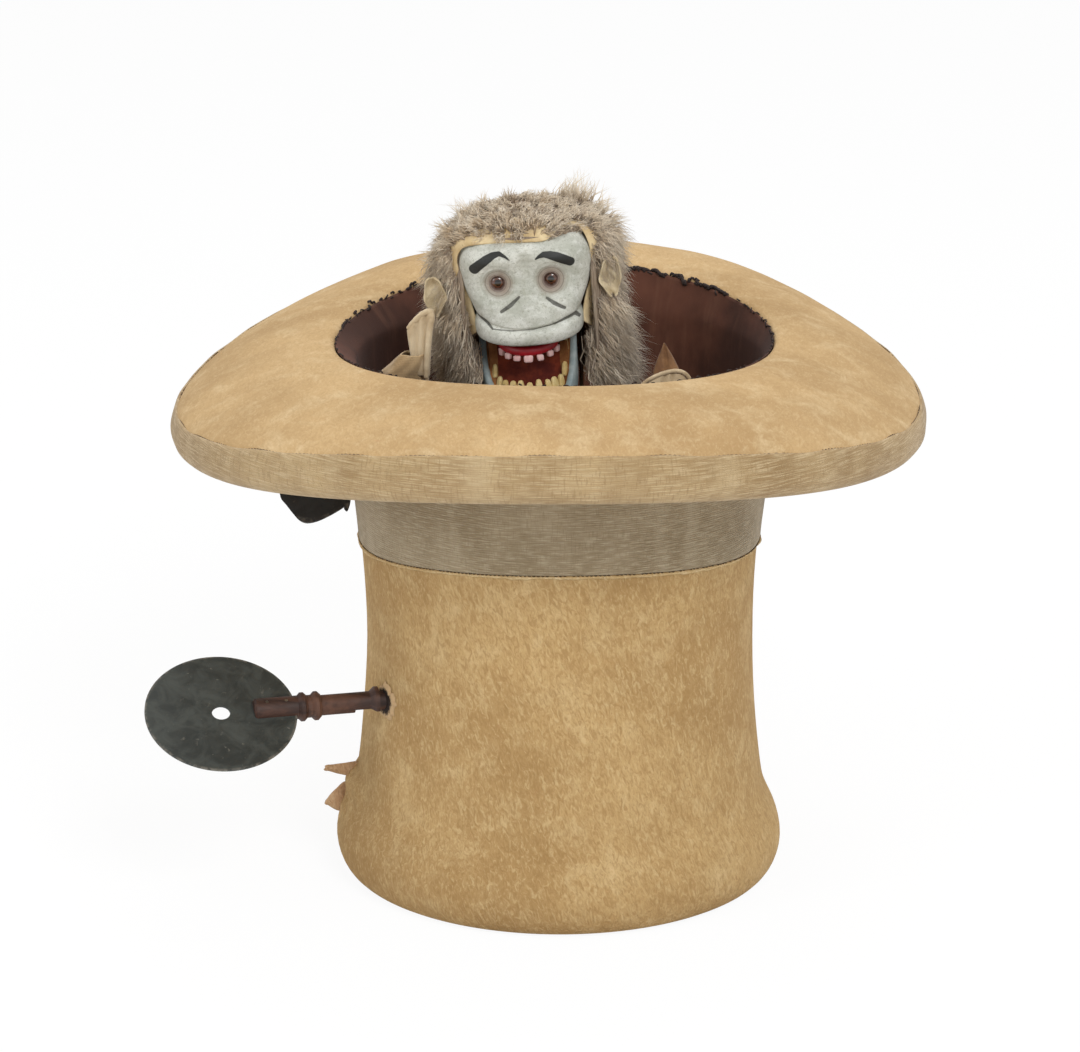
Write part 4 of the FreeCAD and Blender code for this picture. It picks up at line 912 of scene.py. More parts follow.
def face_relief(x, height):
    """Carved depth that is added to the mask's face."""
    depth = 0.0
    for eye_x, eye_z in eye_places:
        away = math.hypot(x - eye_x, height - eye_z)
        depth -= 3.6 * near(away, 9.5)
        depth += 0.42 * math.cos(2 * math.pi * away / 2.7) * near(away - 9.0, 4.2)
        depth += 0.9 * near(away - 5.6, 1.5)
    depth += 2.2 * near(x - face_middle, 6.0) * near(height - 449.0, 12.0)
    depth += 1.4 * near(x - face_middle, 15.0) * near(height - 437.0, 8.0)
    for side in (-1, 1):
        depth += 1.5 * near(x - face_middle - side * 24.0, 9.0) * near(height - 444.0, 7.0)
        depth += 1.4 * near(x - face_middle - side * 22.0, 12.0) * near(height - 474.5, 4.5)
    depth -= 1.1 * near(x - face_middle, 7.0) * near(height - 476.0, 6.0)
    for mark in cheek_marks + lip_ends:
        depth -= 0.9 * near(max(to_stroke(x, height, mark), 0.0), 0.8)
    depth += 0.35 * near(max(to_stroke(x, height, left_brow), 0.0), 0.6)
    depth += 0.35 * near(max(to_stroke(x, height, right_brow), 0.0), 0.6)
    for crease, level in ((0.35, 479.0), (0.3, 474.6), (0.25, 470.6)):
        depth -= crease * near(height - level - 0.02 * (x - face_middle) ** 2, 0.7) * near(x - face_middle,
                                                                                           7.0)
    return depth


def mask_finish():
    """Aged white paint over carved wood, with painted brows, dark eye rims and lines, and painted shade in
    the carved hollows, the eye sockets, the rings round the eyes and the lip's crease.
    """
    f = Finish("aged_mask_paint")
    def kept(name):
        return f.node("Attribute", {"attribute_name": name}, {}, "Fac")
    brow, line, eye, groove = kept("brow"), kept("line"), kept("eye"), kept("groove")
    broad = f.cloud(42.0, 5.0, 0.65, distortion=0.5)
    fine = f.cloud(620.0, 4.0, 0.7)
    speck = f.cloud(260.0, 4.0, 0.65)
    brush = f.cloud(230.0, 4.0, 0.65, f.stretched(0.35, 1.0, 1.0))
    base = f.mixed(f.step(broad, 0.34, 0.68), tone(176, 178, 166), tone(212, 213, 204))
    base = f.mixed(f.step(brush, 0.45, 0.8) * 0.6, base, tone(230, 231, 226))
    base = f.mixed(f.step(speck, 0.54, 0.72) * 0.6, base, tone(158, 158, 140))
    crackle = f.cloud(330.0, 5.0, 0.7, distortion=2.2)
    base = f.mixed(f.step(crackle, 0.54, 0.66) * 0.5, base, tone(120, 118, 102))
    base = f.mixed(f.step(fine, 0.55, 0.7) * 0.6, base, tone(134, 134, 120))
    # painted shade in the carved hollows: darker where the carving goes deeper
    base = f.mixed(f.step(groove, 0.25, 1.0) * 0.45, base, tone(146, 146, 130))
    # painted shade in the carved eye sockets: brownish, darker towards each eye, with a noisy edge
    stain = f.step(eye + (broad - 0.5) * 6.0, 12.5, 5.0) * (0.5 + speck * 0.5)
    base = f.mixed(stain, base, tone(142, 120, 106))
    # painted shade along the carved wrinkle rings round the eyes
    ring = f.node("Math", {"operation": "SINE"}, {0: eye * 2.33}, "Value")
    base = f.mixed(f.step(ring, 0.5, 1.0) * f.step(eye, 11.0, 8.0) * 0.55, base, tone(92, 78, 68))
    lid = f.step(eye + (speck - 0.5) * 2.0, 6.4, 4.4)
    base = f.mixed(lid * 0.9, base, tone(78, 54, 46))
    black = f.step(brow + (fine - 0.5) * 0.5, 0.16, -0.16)
    # dark painted cheek lines and lip corners, and painted shade along the lip's crease
    ink_and_crease_shade = f.step(line + (fine - 0.5) * 0.5, 0.55, 0.0) * (0.7 + speck * 0.4)
    base = f.mixed(f.held(ink_and_crease_shade) * 0.92, base, tone(44, 42, 36))
    base = f.mixed(black * 0.97, base, tone(22, 24, 24))
    rough = 0.62 - black * 0.12
    return f.made(base_color=base, roughness=rough, specular_ior_level=0.35,
                  normal=f.bump(brush * 0.5 + fine * 0.5 + speck * 0.4, 0.4, 0.35))


mask = added("mask_carving", bpy.ops.mesh.primitive_grid_add, x_subdivisions=150, y_subdivisions=150,
             size=2.0)
marks = {"brow": [], "line": [], "eye": [], "groove": []}
for vertex in mask.data.vertices:
    x, ahead, height = on_mask(vertex.co.x, (vertex.co.y + 1) / 2)
    front = 1.0 if abs(vertex.co.x) < 0.9 else max(0.0, (1 - abs(vertex.co.x)) / 0.1)
    relief = face_relief(x, height) if (vertex.co.y + 1) / 2 > 0.3 else 0.0
    ahead += relief * front
    middle, side = between(mask_rows, (vertex.co.y + 1) / 2)[:2]
    marks["brow"].append(min(to_stroke(x, height, left_brow), to_stroke(x, height, right_brow)))
    # line: the painted cheek lines and lip corners, and the lip's crease for painted shade
    marks["line"].append(min(to_stroke(x, height, mark) for mark in cheek_marks + lip_ends))
    marks["eye"].append(min(math.hypot(x - eye_x, height - eye_z) for eye_x, eye_z in eye_places))
    # groove: how deep the carving goes, which the finish turns into painted shade
    marks["groove"].append(min(1.0, max(0.0, -relief)) if marks["eye"][-1] > 6 else 0.0)
    vertex.co = head_place(x, ahead, height)
for name, values in marks.items():
    carry(mask, name, values)
without_faces(mask, lambda corners: all(marks["eye"][vertex] < 4.3 for vertex in corners))
if sum(polygon.normal.y for polygon in mask.data.polygons) > 0:
    mask.data.flip_normals()
thickened(mask, 2.4)
round_shaded(mask)
dressed(mask, "head", "mask_paint", mask_finish(), "face_mask")


# ---------------------------------------------------------------- eyes

def eye_finish(x, height):
    """Brown glass eye about a place on the head."""
    f = Finish("brown_glass_eye")
    centre = head_place(x, 0, height)
    flat = f.stretched(1.0, 0.0, 1.0)
    away = f.node("VectorMath", {"operation": "DISTANCE"}, {0: flat, 1: (centre.x, 0.0, centre.z)}, "Value")
    spoke = f.cloud(900.0, 3.0, 0.7)
    colour = f.mixed(f.step(away, 4.9 * MM, 3.6 * MM), tone(122, 98, 84), tone(92, 56, 38))
    colour = f.mixed(f.step(spoke, 0.4, 0.7) * 0.5, colour, tone(70, 38, 24))
    colour = f.mixed(f.step(away, 2.6 * MM, 2.0 * MM), colour, tone(16, 10, 8))
    return f.made(base_color=colour, roughness=0.12, coat_weight=1.0, coat_roughness=0.04)


for side, name in ((0, "left_eye"), (1, "right_eye")):
    x, height = eye_places[side]
    ball = added(name + "_glass", bpy.ops.mesh.primitive_uv_sphere_add, segments=40, ring_count=24,
                 radius=8.0 * MM, rotation=(math.pi / 2, 0, 0), location=head_place(x, 32.8, height))
    seated(ball)
    editing(ball)
    bpy.ops.mesh.select_all(action="SELECT")
    bpy.ops.mesh.bisect(plane_co=head_place(x, 28.0, height), plane_no=(0, 1, 0), use_fill=True,
                        clear_outer=True)
    done_editing()
    round_shaded(ball, 40)
    dressed(ball, "head", "glass_eye", eye_finish(x, height), name)


# ---------------------------------------------------------------- mouth

def gloss_paint(name, pale, dark, chip, rough=0.35):
    f = Finish(name)
    broad = f.cloud(70.0, 4.0, 0.6)
    fine = f.cloud(500.0, 3.0, 0.65)
    colour = f.mixed(f.step(broad, 0.35, 0.7), dark, pale)
    colour = f.mixed(f.step(fine, 0.6, 0.78) * 0.45, colour, chip)
    return f.made(base_color=colour, roughness=rough + fine * 0.2, coat_weight=0.15, coat_roughness=0.3,
                  normal=f.bump(broad + fine * 0.5, 0.3, 0.3))


gum_finish = gloss_paint("red_gum_paint", tone(190, 30, 44), tone(140, 16, 28), tone(96, 22, 22))


mouth_dip = 4.4


def arc_place(radius, centre_ahead, angle, height):
    """Place on a half circle ahead of the neck; angle 0 is straight ahead."""
    return head_place(face_middle * 0.4 + radius * math.sin(angle),
                      centre_ahead + radius * math.cos(angle), height)


def bent_bar(name, section, stations):
    """A bar along an arc: section gives (out, up), stations give place(out, up)."""
    piece = added(name, bpy.ops.mesh.primitive_circle_add, vertices=len(section), radius=1.0,
                  fill_type="NGON")
    bpy.ops.object.mode_set(mode="EDIT")
    for _ in stations[1:]:
        bpy.ops.mesh.extrude_region_move(TRANSFORM_OT_translate={"value": (0, 0, 1)})
    done_editing()
    for vertex in piece.data.vertices:
        angle = math.atan2(vertex.co.y, vertex.co.x) % (2 * math.pi)
        index = round(angle / (2 * math.pi) * len(section)) % len(section)
        out, up = section[index]
        vertex.co = stations[round(vertex.co.z)](out, up)
    return facing_out(piece)


def arc_station(radius, centre_ahead, angle, height):
    return lambda out, up: arc_place(radius + out, centre_ahead, angle,
                                     height - mouth_dip * math.cos(angle) + up)


gum_section = ((3.2, -1.0), (2.6, 2.6), (0.5, 3.5), (-3.0, 3.4), (-4.2, 0.0), (-3.0, -3.0), (0.0, -3.6),
               (2.4, -2.8))
gum = bent_bar("upper_gum_carving", gum_section,
               [arc_station(19.0, 24.0, math.radians(-92 + 184 * step / 22), 415.0) for step in range(23)])
smoothed(gum, 2)
round_shaded(gum)
dressed(gum, "head", "gum_red", gum_finish, "upper_gum")


def tooth_finish(name, pale, dark, gum_tone):
    f = Finish(name)
    broad = f.cloud(120.0, 4.0, 0.6)
    fine = f.cloud(700.0, 3.0, 0.65)
    colour = f.mixed(f.step(broad, 0.35, 0.7), dark, pale)
    colour = f.mixed(f.step(fine, 0.58, 0.75) * 0.4, colour, gum_tone)
    return f.made(base_color=colour, roughness=0.45, specular_ior_level=0.4,
                  normal=f.bump(broad + fine * 0.4, 0.25, 0.25))


def toothed(name, count, spread, radius, centre_ahead, height, size, seed):
    """A row of carved teeth along an arc."""
    order = random.Random(seed)
    teeth = []
    for index in range(count):
        angle = math.radians(-spread / 2 + spread * index / (count - 1) + order.uniform(-2, 2))
        tooth = added(f"{name}_{index}", bpy.ops.mesh.primitive_cube_add, size=1.0)
        editing(tooth)
        bpy.ops.mesh.bevel(offset=0.22, segments=2, affect="EDGES")
        done_editing()
        width, depth, tall = size
        width *= order.uniform(0.8, 1.12)
        tall *= order.uniform(0.85, 1.12)
        tip = order.uniform(-0.12, 0.12)
        low = height - mouth_dip * 1.15 * math.cos(angle) + order.uniform(-0.3, 0.3)
        for vertex in tooth.data.vertices:
            out, up = vertex.co.y * depth, vertex.co.z * tall
            across = vertex.co.x * width * (1.0 - 0.22 * max(0.0, -up / tall))
            vertex.co = arc_place(radius + out, centre_ahead, angle + (across + tip * up) / radius, low + up)
        teeth.append(facing_out(tooth))
    return joined(name, teeth)


upper_teeth = toothed("upper_teeth_carving", 7, 136.0, 20.8, 24.0, 410.6, (5.8, 3.4, 4.6), 11)
round_shaded(upper_teeth, 50)
dressed(upper_teeth, "head", "tooth", tooth_finish("pink_white_teeth", tone(238, 206, 200),
                                                   tone(222, 170, 168),
                                                   tone(190, 90, 96)), "upper_teeth")

# the jaw is a trough: horseshoe wall with a floor, and cheeks that rise to the jaw pin
jaw_radius, jaw_ahead, jaw_wall_width, jaw_paint_width = 34.6, 9.0, 10.5, 5.2
jaw_steps = 40
jaw_tail = ((0.0, 433.0, 409.0), (-4.0, 434.0, 414.0), (-8.0, 430.0, 419.0))


def jaw_rim(angle):
    """Height of the jaw's rim round the horseshoe; the angle is 0 straight ahead."""
    side = min(1.0, max(0.0, (abs(angle) - math.radians(50)) / math.radians(40)))
    return 379.5 + 35.0 * side ** 1.4


def jaw_foot(angle):
    side = min(1.0, max(0.0, (abs(angle) - math.radians(62)) / math.radians(28)))
    return 366.0 + 26.0 * side ** 1.6


def jaw_course():
    """Stations round the jaw: place, way out, foot and rim height."""
    stations = []
    for ahead, rim, foot in reversed(jaw_tail):
        stations.append((-jaw_radius, ahead, -1.0, 0.0, foot, rim))
    for step in range(jaw_steps + 1):
        angle = (step / jaw_steps - 0.5) * math.pi
        out, forward = math.sin(angle), math.cos(angle)
        stations.append((jaw_radius * out, jaw_ahead + jaw_radius * forward, out, forward,
                         jaw_foot(angle), jaw_rim(angle)))
    for ahead, rim, foot in jaw_tail:
        stations.append((jaw_radius, ahead, 1.0, 0.0, foot, rim))
    return stations


def jaw_station(station, at):
    x, ahead, out_x, out_ahead, foot, rim = station

    def place(inward, share):
        rough = 0.3 * math.sin(0.7 * at + 7 * share)
        return head_place(x - out_x * (inward + rough), ahead - out_ahead * (inward + rough),
                          foot + (rim - foot) * share)
    return place


wall_section = ((0.0, 0.45), (0.0, 0.88), (0.9, 1.0), (jaw_paint_width - 0.8, 1.0), (jaw_paint_width, 0.86),
                (jaw_paint_width + 0.9, 0.83), (jaw_wall_width - 0.8, 0.8), (jaw_wall_width, 0.7),
                (jaw_wall_width, 0.3), (jaw_wall_width - 0.8, 0.0), (0.7, 0.0), (0.1, 0.1))
jaw = bent_bar("jaw_carving", wall_section, [jaw_station(station, at) for at,
                                             station in enumerate(jaw_course())])
smoothed(jaw, 1)


def plate(name, outline, low, high):
    """A flat plate between two heights on the head; outline gives (right, ahead)."""
    piece = added(name, bpy.ops.mesh.primitive_circle_add, vertices=len(outline), radius=1.0,
                  fill_type="NGON")
    bpy.ops.object.mode_set(mode="EDIT")
    bpy.ops.mesh.extrude_region_move(TRANSFORM_OT_translate={"value": (0, 0, 1)})
    done_editing()
    for vertex in piece.data.vertices:
        angle = math.atan2(vertex.co.y, vertex.co.x) % (2 * math.pi)
        x, ahead = outline[round(angle / (2 * math.pi) * len(outline)) % len(outline)]
        vertex.co = head_place(x, ahead, low if vertex.co.z < 0.5 else high)
    return facing_out(piece)


floor_radius = jaw_radius - jaw_wall_width + 1.5
floor_outline = [(floor_radius * math.sin(angle), jaw_ahead + floor_radius * math.cos(angle))
                 for angle in (math.radians(-78 + 156 * step / 24) for step in range(25))]
jaw_floor = plate("jaw_floor", floor_outline, 366.5, 371.5)


def throat_place(across, up):
    """The painted back of the mouth, a curtain that closes the jaw behind."""
    x = 27.8 * across
    ahead = 11.2 + 9.0 * (1 - math.cos(across * 1.3)) - 2.0 * up
    return head_place(x, ahead, 370.5 + 40.0 * up + 1.0 * math.sin(5 * across))


throat = added("throat", bpy.ops.mesh.primitive_grid_add, x_subdivisions=24, y_subdivisions=14, size=2.0)
for vertex in throat.data.vertices:
    vertex.co = throat_place(vertex.co.x, (vertex.co.y + 1) / 2)
thickened(throat, 1.4, 0.0)
jaw = joined("jaw_carving", [jaw, jaw_floor, throat])


def head_local(place):
    """Right, ahead and up on the head, in millimetres, of a place in the row frame."""
    turn = Matrix.Rotation(head_roll, 3, "Y")
    local = turn @ (place / MM - Vector((neck_x, neck_y, pivot_height)))
    return local.x, -local.y, local.z + pivot_height


def jaw_finish():
    """Grey-blue outside, bare wood on the rim, brown-red paint inside."""
    f = Finish("jaw_paint_in_and_out")
    inside = f.node("Attribute", {"attribute_name": "inside"}, {}, "Fac")
    rim = f.node("Attribute", {"attribute_name": "rim"}, {}, "Fac")
    broad = f.cloud(60.0, 5.0, 0.65)
    fine = f.cloud(520.0, 4.0, 0.7)
    outer = f.mixed(f.step(broad, 0.35, 0.68), tone(134, 150, 152), tone(176, 186, 184))
    inner = f.mixed(f.step(broad, 0.35, 0.7), tone(92, 28, 18), tone(146, 62, 36))
    wood = f.mixed(f.step(broad, 0.35, 0.7), tone(128, 78, 40), tone(170, 118, 70))
    colour = f.mixed(f.step(inside + (fine - 0.5) * 0.3, 0.4, 0.6), outer, inner)
    colour = f.mixed(f.step(rim + (fine - 0.5) * 0.4, 0.45, 0.65), colour, wood)
    colour = f.mixed(f.step(fine, 0.6, 0.8) * 0.35, colour, tone(70, 40, 30))
    return f.made(base_color=colour, roughness=0.6, specular_ior_level=0.35,
                  normal=f.bump(broad + fine * 0.6, 0.35, 0.35))


inside_share, rim_share = [], []
for vertex in jaw.data.vertices:
    x, ahead, height = head_local(vertex.co)
    away = math.hypot(x, ahead - jaw_ahead) if ahead > jaw_ahead else abs(x)
    angle = math.atan2(x, max(ahead - jaw_ahead, 0.001))
    inside_share.append(1.0 if away < jaw_radius - jaw_paint_width - 0.2 else 0.0)
    high = height - (jaw_foot(angle) + 0.55 * (jaw_rim(angle) - jaw_foot(angle)))
    inner = jaw_radius - jaw_wall_width - 0.5 < away < jaw_radius - jaw_paint_width + 0.2
    rim_share.append(min(1.0, max(0.0, 0.4 + high / 4.0)) if inner else 0.0)
carry(jaw, "inside", inside_share)
carry(jaw, "rim", rim_share)
round_shaded(jaw, 45)
dressed(jaw, "jaw", "jaw_paint", jaw_finish(), "jaw_block")


def peg_tooth(name, angle, tall, wide, lean, turn):
    """One whittled lower tooth: a squared peg with a blunt, worn tip."""
    piece = added(name, bpy.ops.mesh.primitive_cube_add, size=1.0)
    bpy.ops.object.mode_set(mode="EDIT")
    bpy.ops.mesh.subdivide(number_cuts=2)
    done_editing()
    radius = jaw_radius - jaw_wall_width + 2.6
    low = jaw_foot(angle) + 0.8 * (jaw_rim(angle) - jaw_foot(angle)) - 1.5
    for vertex in piece.data.vertices:
        side, out, up = vertex.co.x, vertex.co.y, vertex.co.z + 0.5
        slim = 1.0 - 0.35 * up ** 2
        side, out = side * wide * slim, out * 3.4 * slim
        rise = up * tall - (0.5 * abs(side) if up > 0.9 else 0.0)
        out += lean * up * tall
        across = side * math.cos(turn) - out * 0.2 * math.sin(turn)
        way = Vector((math.sin(angle), math.cos(angle)))
        along = Vector((math.cos(angle), -math.sin(angle)))
        flat = way * (radius + out) + along * across
        vertex.co = head_place(flat.x, jaw_ahead + flat.y, low + rise)
    return smoothed(piece, 1)


order = random.Random(23)
pegs = []
for index in range(13):
    peg_angle = math.radians(-84 + 168 * index / 12 + order.uniform(-2, 2))
    side = min(1.0, max(0.0, (abs(peg_angle) - 0.87) / 0.7))
    pegs.append(peg_tooth("peg_tooth", peg_angle, 12.2 - 5.0 * side + order.uniform(-1.0, 1.2),
                          order.uniform(5.2, 6.6), order.uniform(-0.16, 0.05), order.uniform(-0.3, 0.3)))
lower_teeth = joined("lower_teeth_carving", pegs)
round_shaded(lower_teeth, 50)
dressed(lower_teeth, "jaw", "tooth", tooth_finish("cream_teeth", tone(236, 214, 156), tone(212, 182, 116),
                                                  tone(176, 140, 82)), "lower_teeth")

# ---------------------------------------------------------------- leather round the face, and the ears

hood_path = ((-33.5, 26.0, 424.0), (-35.5, 25.0, 433.0), (-38.5, 24.0, 443.0), (-42.5, 23.5, 455.0),
             (-45.5, 24.0, 467.0), (-45.5, 25.5, 477.0), (-41.5, 29.0, 485.0), (-33.0, 34.0, 488.5),
             (-19.0, 38.0, 489.6), (-4.0, 40.0, 489.0), (9.0, 40.5, 489.4), (20.0, 39.0, 490.5),
             (28.0, 34.5, 495.0), (36.0, 30.0, 497.0), (44.5, 27.0, 492.5), (49.5, 25.0, 482.0),
             (50.5, 23.5, 470.0), (48.5, 22.5, 457.0), (45.0, 22.0, 445.0), (43.0, 22.5, 434.0),
             (42.0, 23.0, 424.0))
hood_middle = (2.5, 458.0)


def hood_place(along, across):
    """Place on the leather; across runs 0 at the mask to 1 under the fur."""
    x, ahead, height = between(hood_path, along)
    out_x, out_z = x - hood_middle[0], height - hood_middle[1]
    reach = math.hypot(out_x, out_z)
    out_x, out_z = out_x / reach, out_z / reach
    top = max(0.0, min(1.0, (height - 470.0) / 18.0))
    width = 7.5 + 4.0 * top + 1.4 * math.sin(19 * along) + 1.0 * math.sin(43 * along + 1)
    width += 2.5 * near(along - 0.49, 0.06) - 7.0 * near(along - 0.67, 0.10)
    edge = -1.6 + 0.7 * math.sin(31 * along)
    out = edge + (width - edge) * across
    curl = 1.6 + 0.5 * math.sin(27 * along) - 9.0 * across ** 1.6
    ripple = 0.7 * math.sin(60 * along + 3 * across) * across
    return x + out_x * out, ahead + curl + ripple, height + out_z * out


def leather_finish(name, pale, dark, stain):
    f = Finish(name)
    broad = f.cloud(55.0, 5.0, 0.65)
    pebble = f.cells(900.0)
    crease = f.cloud(240.0, 4.0, 0.65, distortion=1.2)
    colour = f.mixed(f.step(broad, 0.35, 0.68), dark, pale)
    colour = f.mixed(f.step(crease, 0.55, 0.75) * 0.5, colour, stain)
    return f.made(base_color=colour, roughness=0.72, sheen_weight=0.1, specular_ior_level=0.35,
                  normal=f.bump(crease + pebble * 0.4, 0.45, 0.4))


tan_finish = leather_finish("tan_glove_leather", tone(226, 206, 164), tone(200, 174, 128), tone(152, 120, 84))
hood = added("forehead_leather_strip", bpy.ops.mesh.primitive_grid_add, x_subdivisions=150,
             y_subdivisions=9, size=2.0)
for vertex in hood.data.vertices:
    vertex.co = head_place(*hood_place((vertex.co.x + 1) / 2, (vertex.co.y + 1) / 2))
if sum(polygon.normal.y for polygon in hood.data.polygons) > 0:
    hood.data.flip_normals()
thickened(hood, 1.0)
round_shaded(hood)
dressed(hood, "head", "tan_leather", tan_finish, "forehead_leather")

ear_finish = leather_finish("thin_ear_skin", tone(220, 206, 174), tone(190, 172, 138), tone(160, 136, 104))


def ear_piece(name, x, ahead, height, side, lean):
    """A cupped leaf of thin leather with a rolled rim."""
    leaf = added(name, bpy.ops.mesh.primitive_grid_add, x_subdivisions=22, y_subdivisions=30, size=2.0)
    for vertex in leaf.data.vertices:
        across, up = vertex.co.x, vertex.co.y
        wide = 7.6 * math.sqrt(max(0.02, 1 - up * up)) * (1 + 0.15 * up + 0.1 * math.sin(5 * up + 2))
        out = across * wide
        cup = 3.4 * across * across + 1.4 * math.exp(-((abs(across) - 0.9) / 0.12) ** 2)
        fold = 0.8 * math.sin(7 * up + 3 * across)
        place = (x + side * (out + 1.5 * up * up), ahead + cup + fold + 2.0 * up,
                 height + 14.0 * up + lean * out)
        vertex.co = head_place(*place)
    if sum(polygon.normal.y for polygon in leaf.data.polygons) > 0:
        leaf.data.flip_normals()
    thickened(leaf, 1.5)
    return round_shaded(smoothed(leaf, 1))


dressed(ear_piece("left_ear_leaf", -62.0, 25.0, 450.0, -1, 0.05), "head", "ear_skin", ear_finish, "left_ear")
dressed(ear_piece("right_ear_leaf", 61.0, 24.0, 456.0, 1, 0.1), "head", "ear_skin", ear_finish, "right_ear")

# ---------------------------------------------------------------- fur

hide_profile = ((377.0, 50.0), (384.0, 56.0), (400.0, 58.5), (425.0, 59.0), (450.0, 59.0), (468.0, 58.0),
                (482.0, 54.5), (491.0, 48.5), (498.5, 38.0), (503.5, 24.0), (505.5, 10.0), (505.8, 0.0))
hide_middle = (3.0, -6.0)


def on_hide(angle, height, radius):
    """Place on the hide under the fur; the angle is 0 straight ahead and grows to the right."""
    back = 0.5 - 0.5 * math.cos(angle)
    radius = radius * (1.0 - 0.06 * back)
    shift = 5.0 * max(0.0, min(1.0, (height - 470.0) / 20.0)) * math.sin(angle)
    return (hide_middle[0] + radius * math.sin(angle) + max(shift, 0.0),
            hide_middle[1] + radius * math.cos(angle), height)


def hide_radius(height):
    for (low, low_radius), (high, high_radius) in zip(hide_profile, hide_profile[1:]):
        if low <= height <= high:
            return low_radius + (high_radius - low_radius) * (height - low) / (high - low)
    return 0.0


def in_face_window(x, ahead, height):
    return ahead > 6.0 and -45.0 < x < 51.0 and height < 494.0


def fur_finish(name, root, middle, tip):
    """Fur: darker at the skin, paler to the tips, each strand its own tone."""
    f = Finish(name)
    along = f.node("Attribute", {"attribute_name": "along"}, {}, "Fac")
    own = f.node("Attribute", {"attribute_name": "own"}, {}, "Fac")
    broad = f.cloud(45.0, 3.0, 0.6)
    colour = f.mixed(f.step(along + (own - 0.5) * 0.5, 0.0, 0.5), root, middle)
    colour = f.mixed(f.step(along + (own - 0.5) * 0.8, 0.35, 1.0), colour, tip)
    colour = f.mixed(f.step(own, 0.7, 1.0) * 0.6, colour, tone(236, 226, 208))
    colour = f.mixed(f.step(own, 0.34, 0.1) * 0.6, colour, tone(132, 110, 92))
    colour = f.mixed(f.step(broad, 0.52, 0.7) * 0.45, colour, tone(196, 168, 130))
    return f.made(base_color=colour, roughness=0.7, sheen_weight=0.2, specular_ior_level=0.2,
                  normal=f.bump(broad, 0.1, 0.2))


def hide_finish():
    f = Finish("fur_hide_underlayer")
    hairs = f.cloud(420.0, 4.0, 0.7, f.stretched(1.0, 1.0, 0.16))
    broad = f.cloud(40.0, 4.0, 0.6)
    colour = f.mixed(f.step(hairs, 0.3, 0.72), tone(116, 100, 86), tone(178, 162, 142))
    colour = f.mixed(f.step(broad, 0.4, 0.7) * 0.4, colour, tone(150, 128, 104))
    return f.made(base_color=colour, roughness=0.9, normal=f.bump(hairs, 0.8, 1.2))


hide = ring_sheet("fur_hide", [(lambda angle, height=height, radius=radius:
                                head_place(*on_hide(angle, height, radius)) / MM)
                               for height, radius in hide_profile], 96)
hide_places = [head_local(vertex.co) for vertex in hide.data.vertices]
without_faces(hide, lambda corners: all(in_face_window(*hide_places[vertex]) for vertex in corners))
smoothed(hide, 1)
thickened(hide, 2.0)
round_shaded(hide)
dressed(hide, "head", "fur", hide_finish(), "fur_wig")


def strands(name, locks, seed):
    """Locks of tapering hairs; each lock is (root, way, hang, length, spread, hairs)."""
    order = random.Random(seed)
    points, faces, along, own = [], [], [], []
    for root, way, hang, length, spread, hairs in locks:
        lock_own = order.random()
        root, way, hang = Vector(root), Vector(way).normalized(), Vector(hang)
        for _ in range(hairs):
            stray = Vector((order.gauss(0, 1), order.gauss(0, 1), order.gauss(0, 1)))
            start = root + stray * spread
            heading = (way + Vector((order.gauss(0, 1), order.gauss(0, 1), order.gauss(0, 1)))
                       * 0.2).normalized()
            reach = length * order.uniform(0.5, 1.1)
            side = heading.cross(Vector((0.3, 0.8, 0.5))).normalized()
            other = heading.cross(side)
            thick = order.uniform(0.26, 0.55)
            curl = (side * order.gauss(0, 1) + other * order.gauss(0, 1)) * 0.09 * reach
            bend = start + heading * reach * 0.5 + hang * reach * 0.22 - stray * spread * 0.35 + curl
            tip = start + heading * reach + hang * reach * 0.9 - stray * spread * 0.8 - curl
            shade = min(1.0, max(0.0, 0.55 * lock_own + 0.45 * order.random()))
            first = len(points)
            for middle, wide, level in ((start, thick, 0.0), (bend, thick * 0.75, 0.5)):
                points.append(head_place(*(middle + side * wide)))
                points.append(head_place(*(middle - side * 0.5 * wide + other * wide * 0.8)))
                points.append(head_place(*(middle - side * 0.5 * wide - other * wide * 0.8)))
                along += [level] * 3
            points.append(head_place(*tip))
            along.append(1.0)
            own += [shade] * 7
            faces.append((first, first + 2, first + 1))
            for corner in range(3):
                after = (corner + 1) % 3
                faces.append((first + corner, first + after, first + 3 + after, first + 3 + corner))
                faces.append((first + 3 + corner, first + 3 + after, first + 6))
    mesh = bpy.data.meshes.new(name)
    mesh.from_pydata([tuple(point) for point in points], [], faces)
    piece = bpy.data.objects.new(name, mesh)
    bpy.context.scene.collection.objects.link(piece)
    carry(piece, "along", along)
    carry(piece, "own", own)
    facing_out(piece)
    return round_shaded(piece)


ear_places = ((-62.0, 450.0), (61.0, 456.0))


def over_an_ear(x, height, ahead):
    return ahead > -4 and any(abs(x - ear_x) < 10 and -14 < height - ear_z < 18 for ear_x,
                              ear_z in ear_places)


def crown_locks(seed, count):
    """Fuzzy tufts over the top of the head."""
    order = random.Random(seed)
    locks = []
    while len(locks) < count:
        angle = order.uniform(-math.pi, math.pi)
        height = 505.6 - 37.0 * order.random() ** 1.4
        x, ahead, height = on_hide(angle, height, hide_radius(height))
        if in_face_window(x, ahead, height + 2):
            continue
        out = Vector((x - hide_middle[0], ahead - hide_middle[1], 0.0))
        out = out.normalized() if out.length > 1 else Vector((0, -1, 0))
        steep = max(0.0, min(1.0, (height - 480.0) / 22.0))
        swirl = Vector((out.y, -out.x, 0.0)) * (0.4 * math.sin(3 * angle + 1))
        way = out * (0.95 - 0.5 * steep) + Vector((0.05, -0.1, 0.2 + 0.25 * steep)) + swirl
        way += Vector([order.gauss(0, 0.25) for _ in range(3)])
        length = order.uniform(10, 18) * (1.0 - 0.3 * steep)
        locks.append(((x, ahead, height - 1.0), way, (out.x * 0.1, -0.05, -0.25), length, 1.8, 26))
    return locks


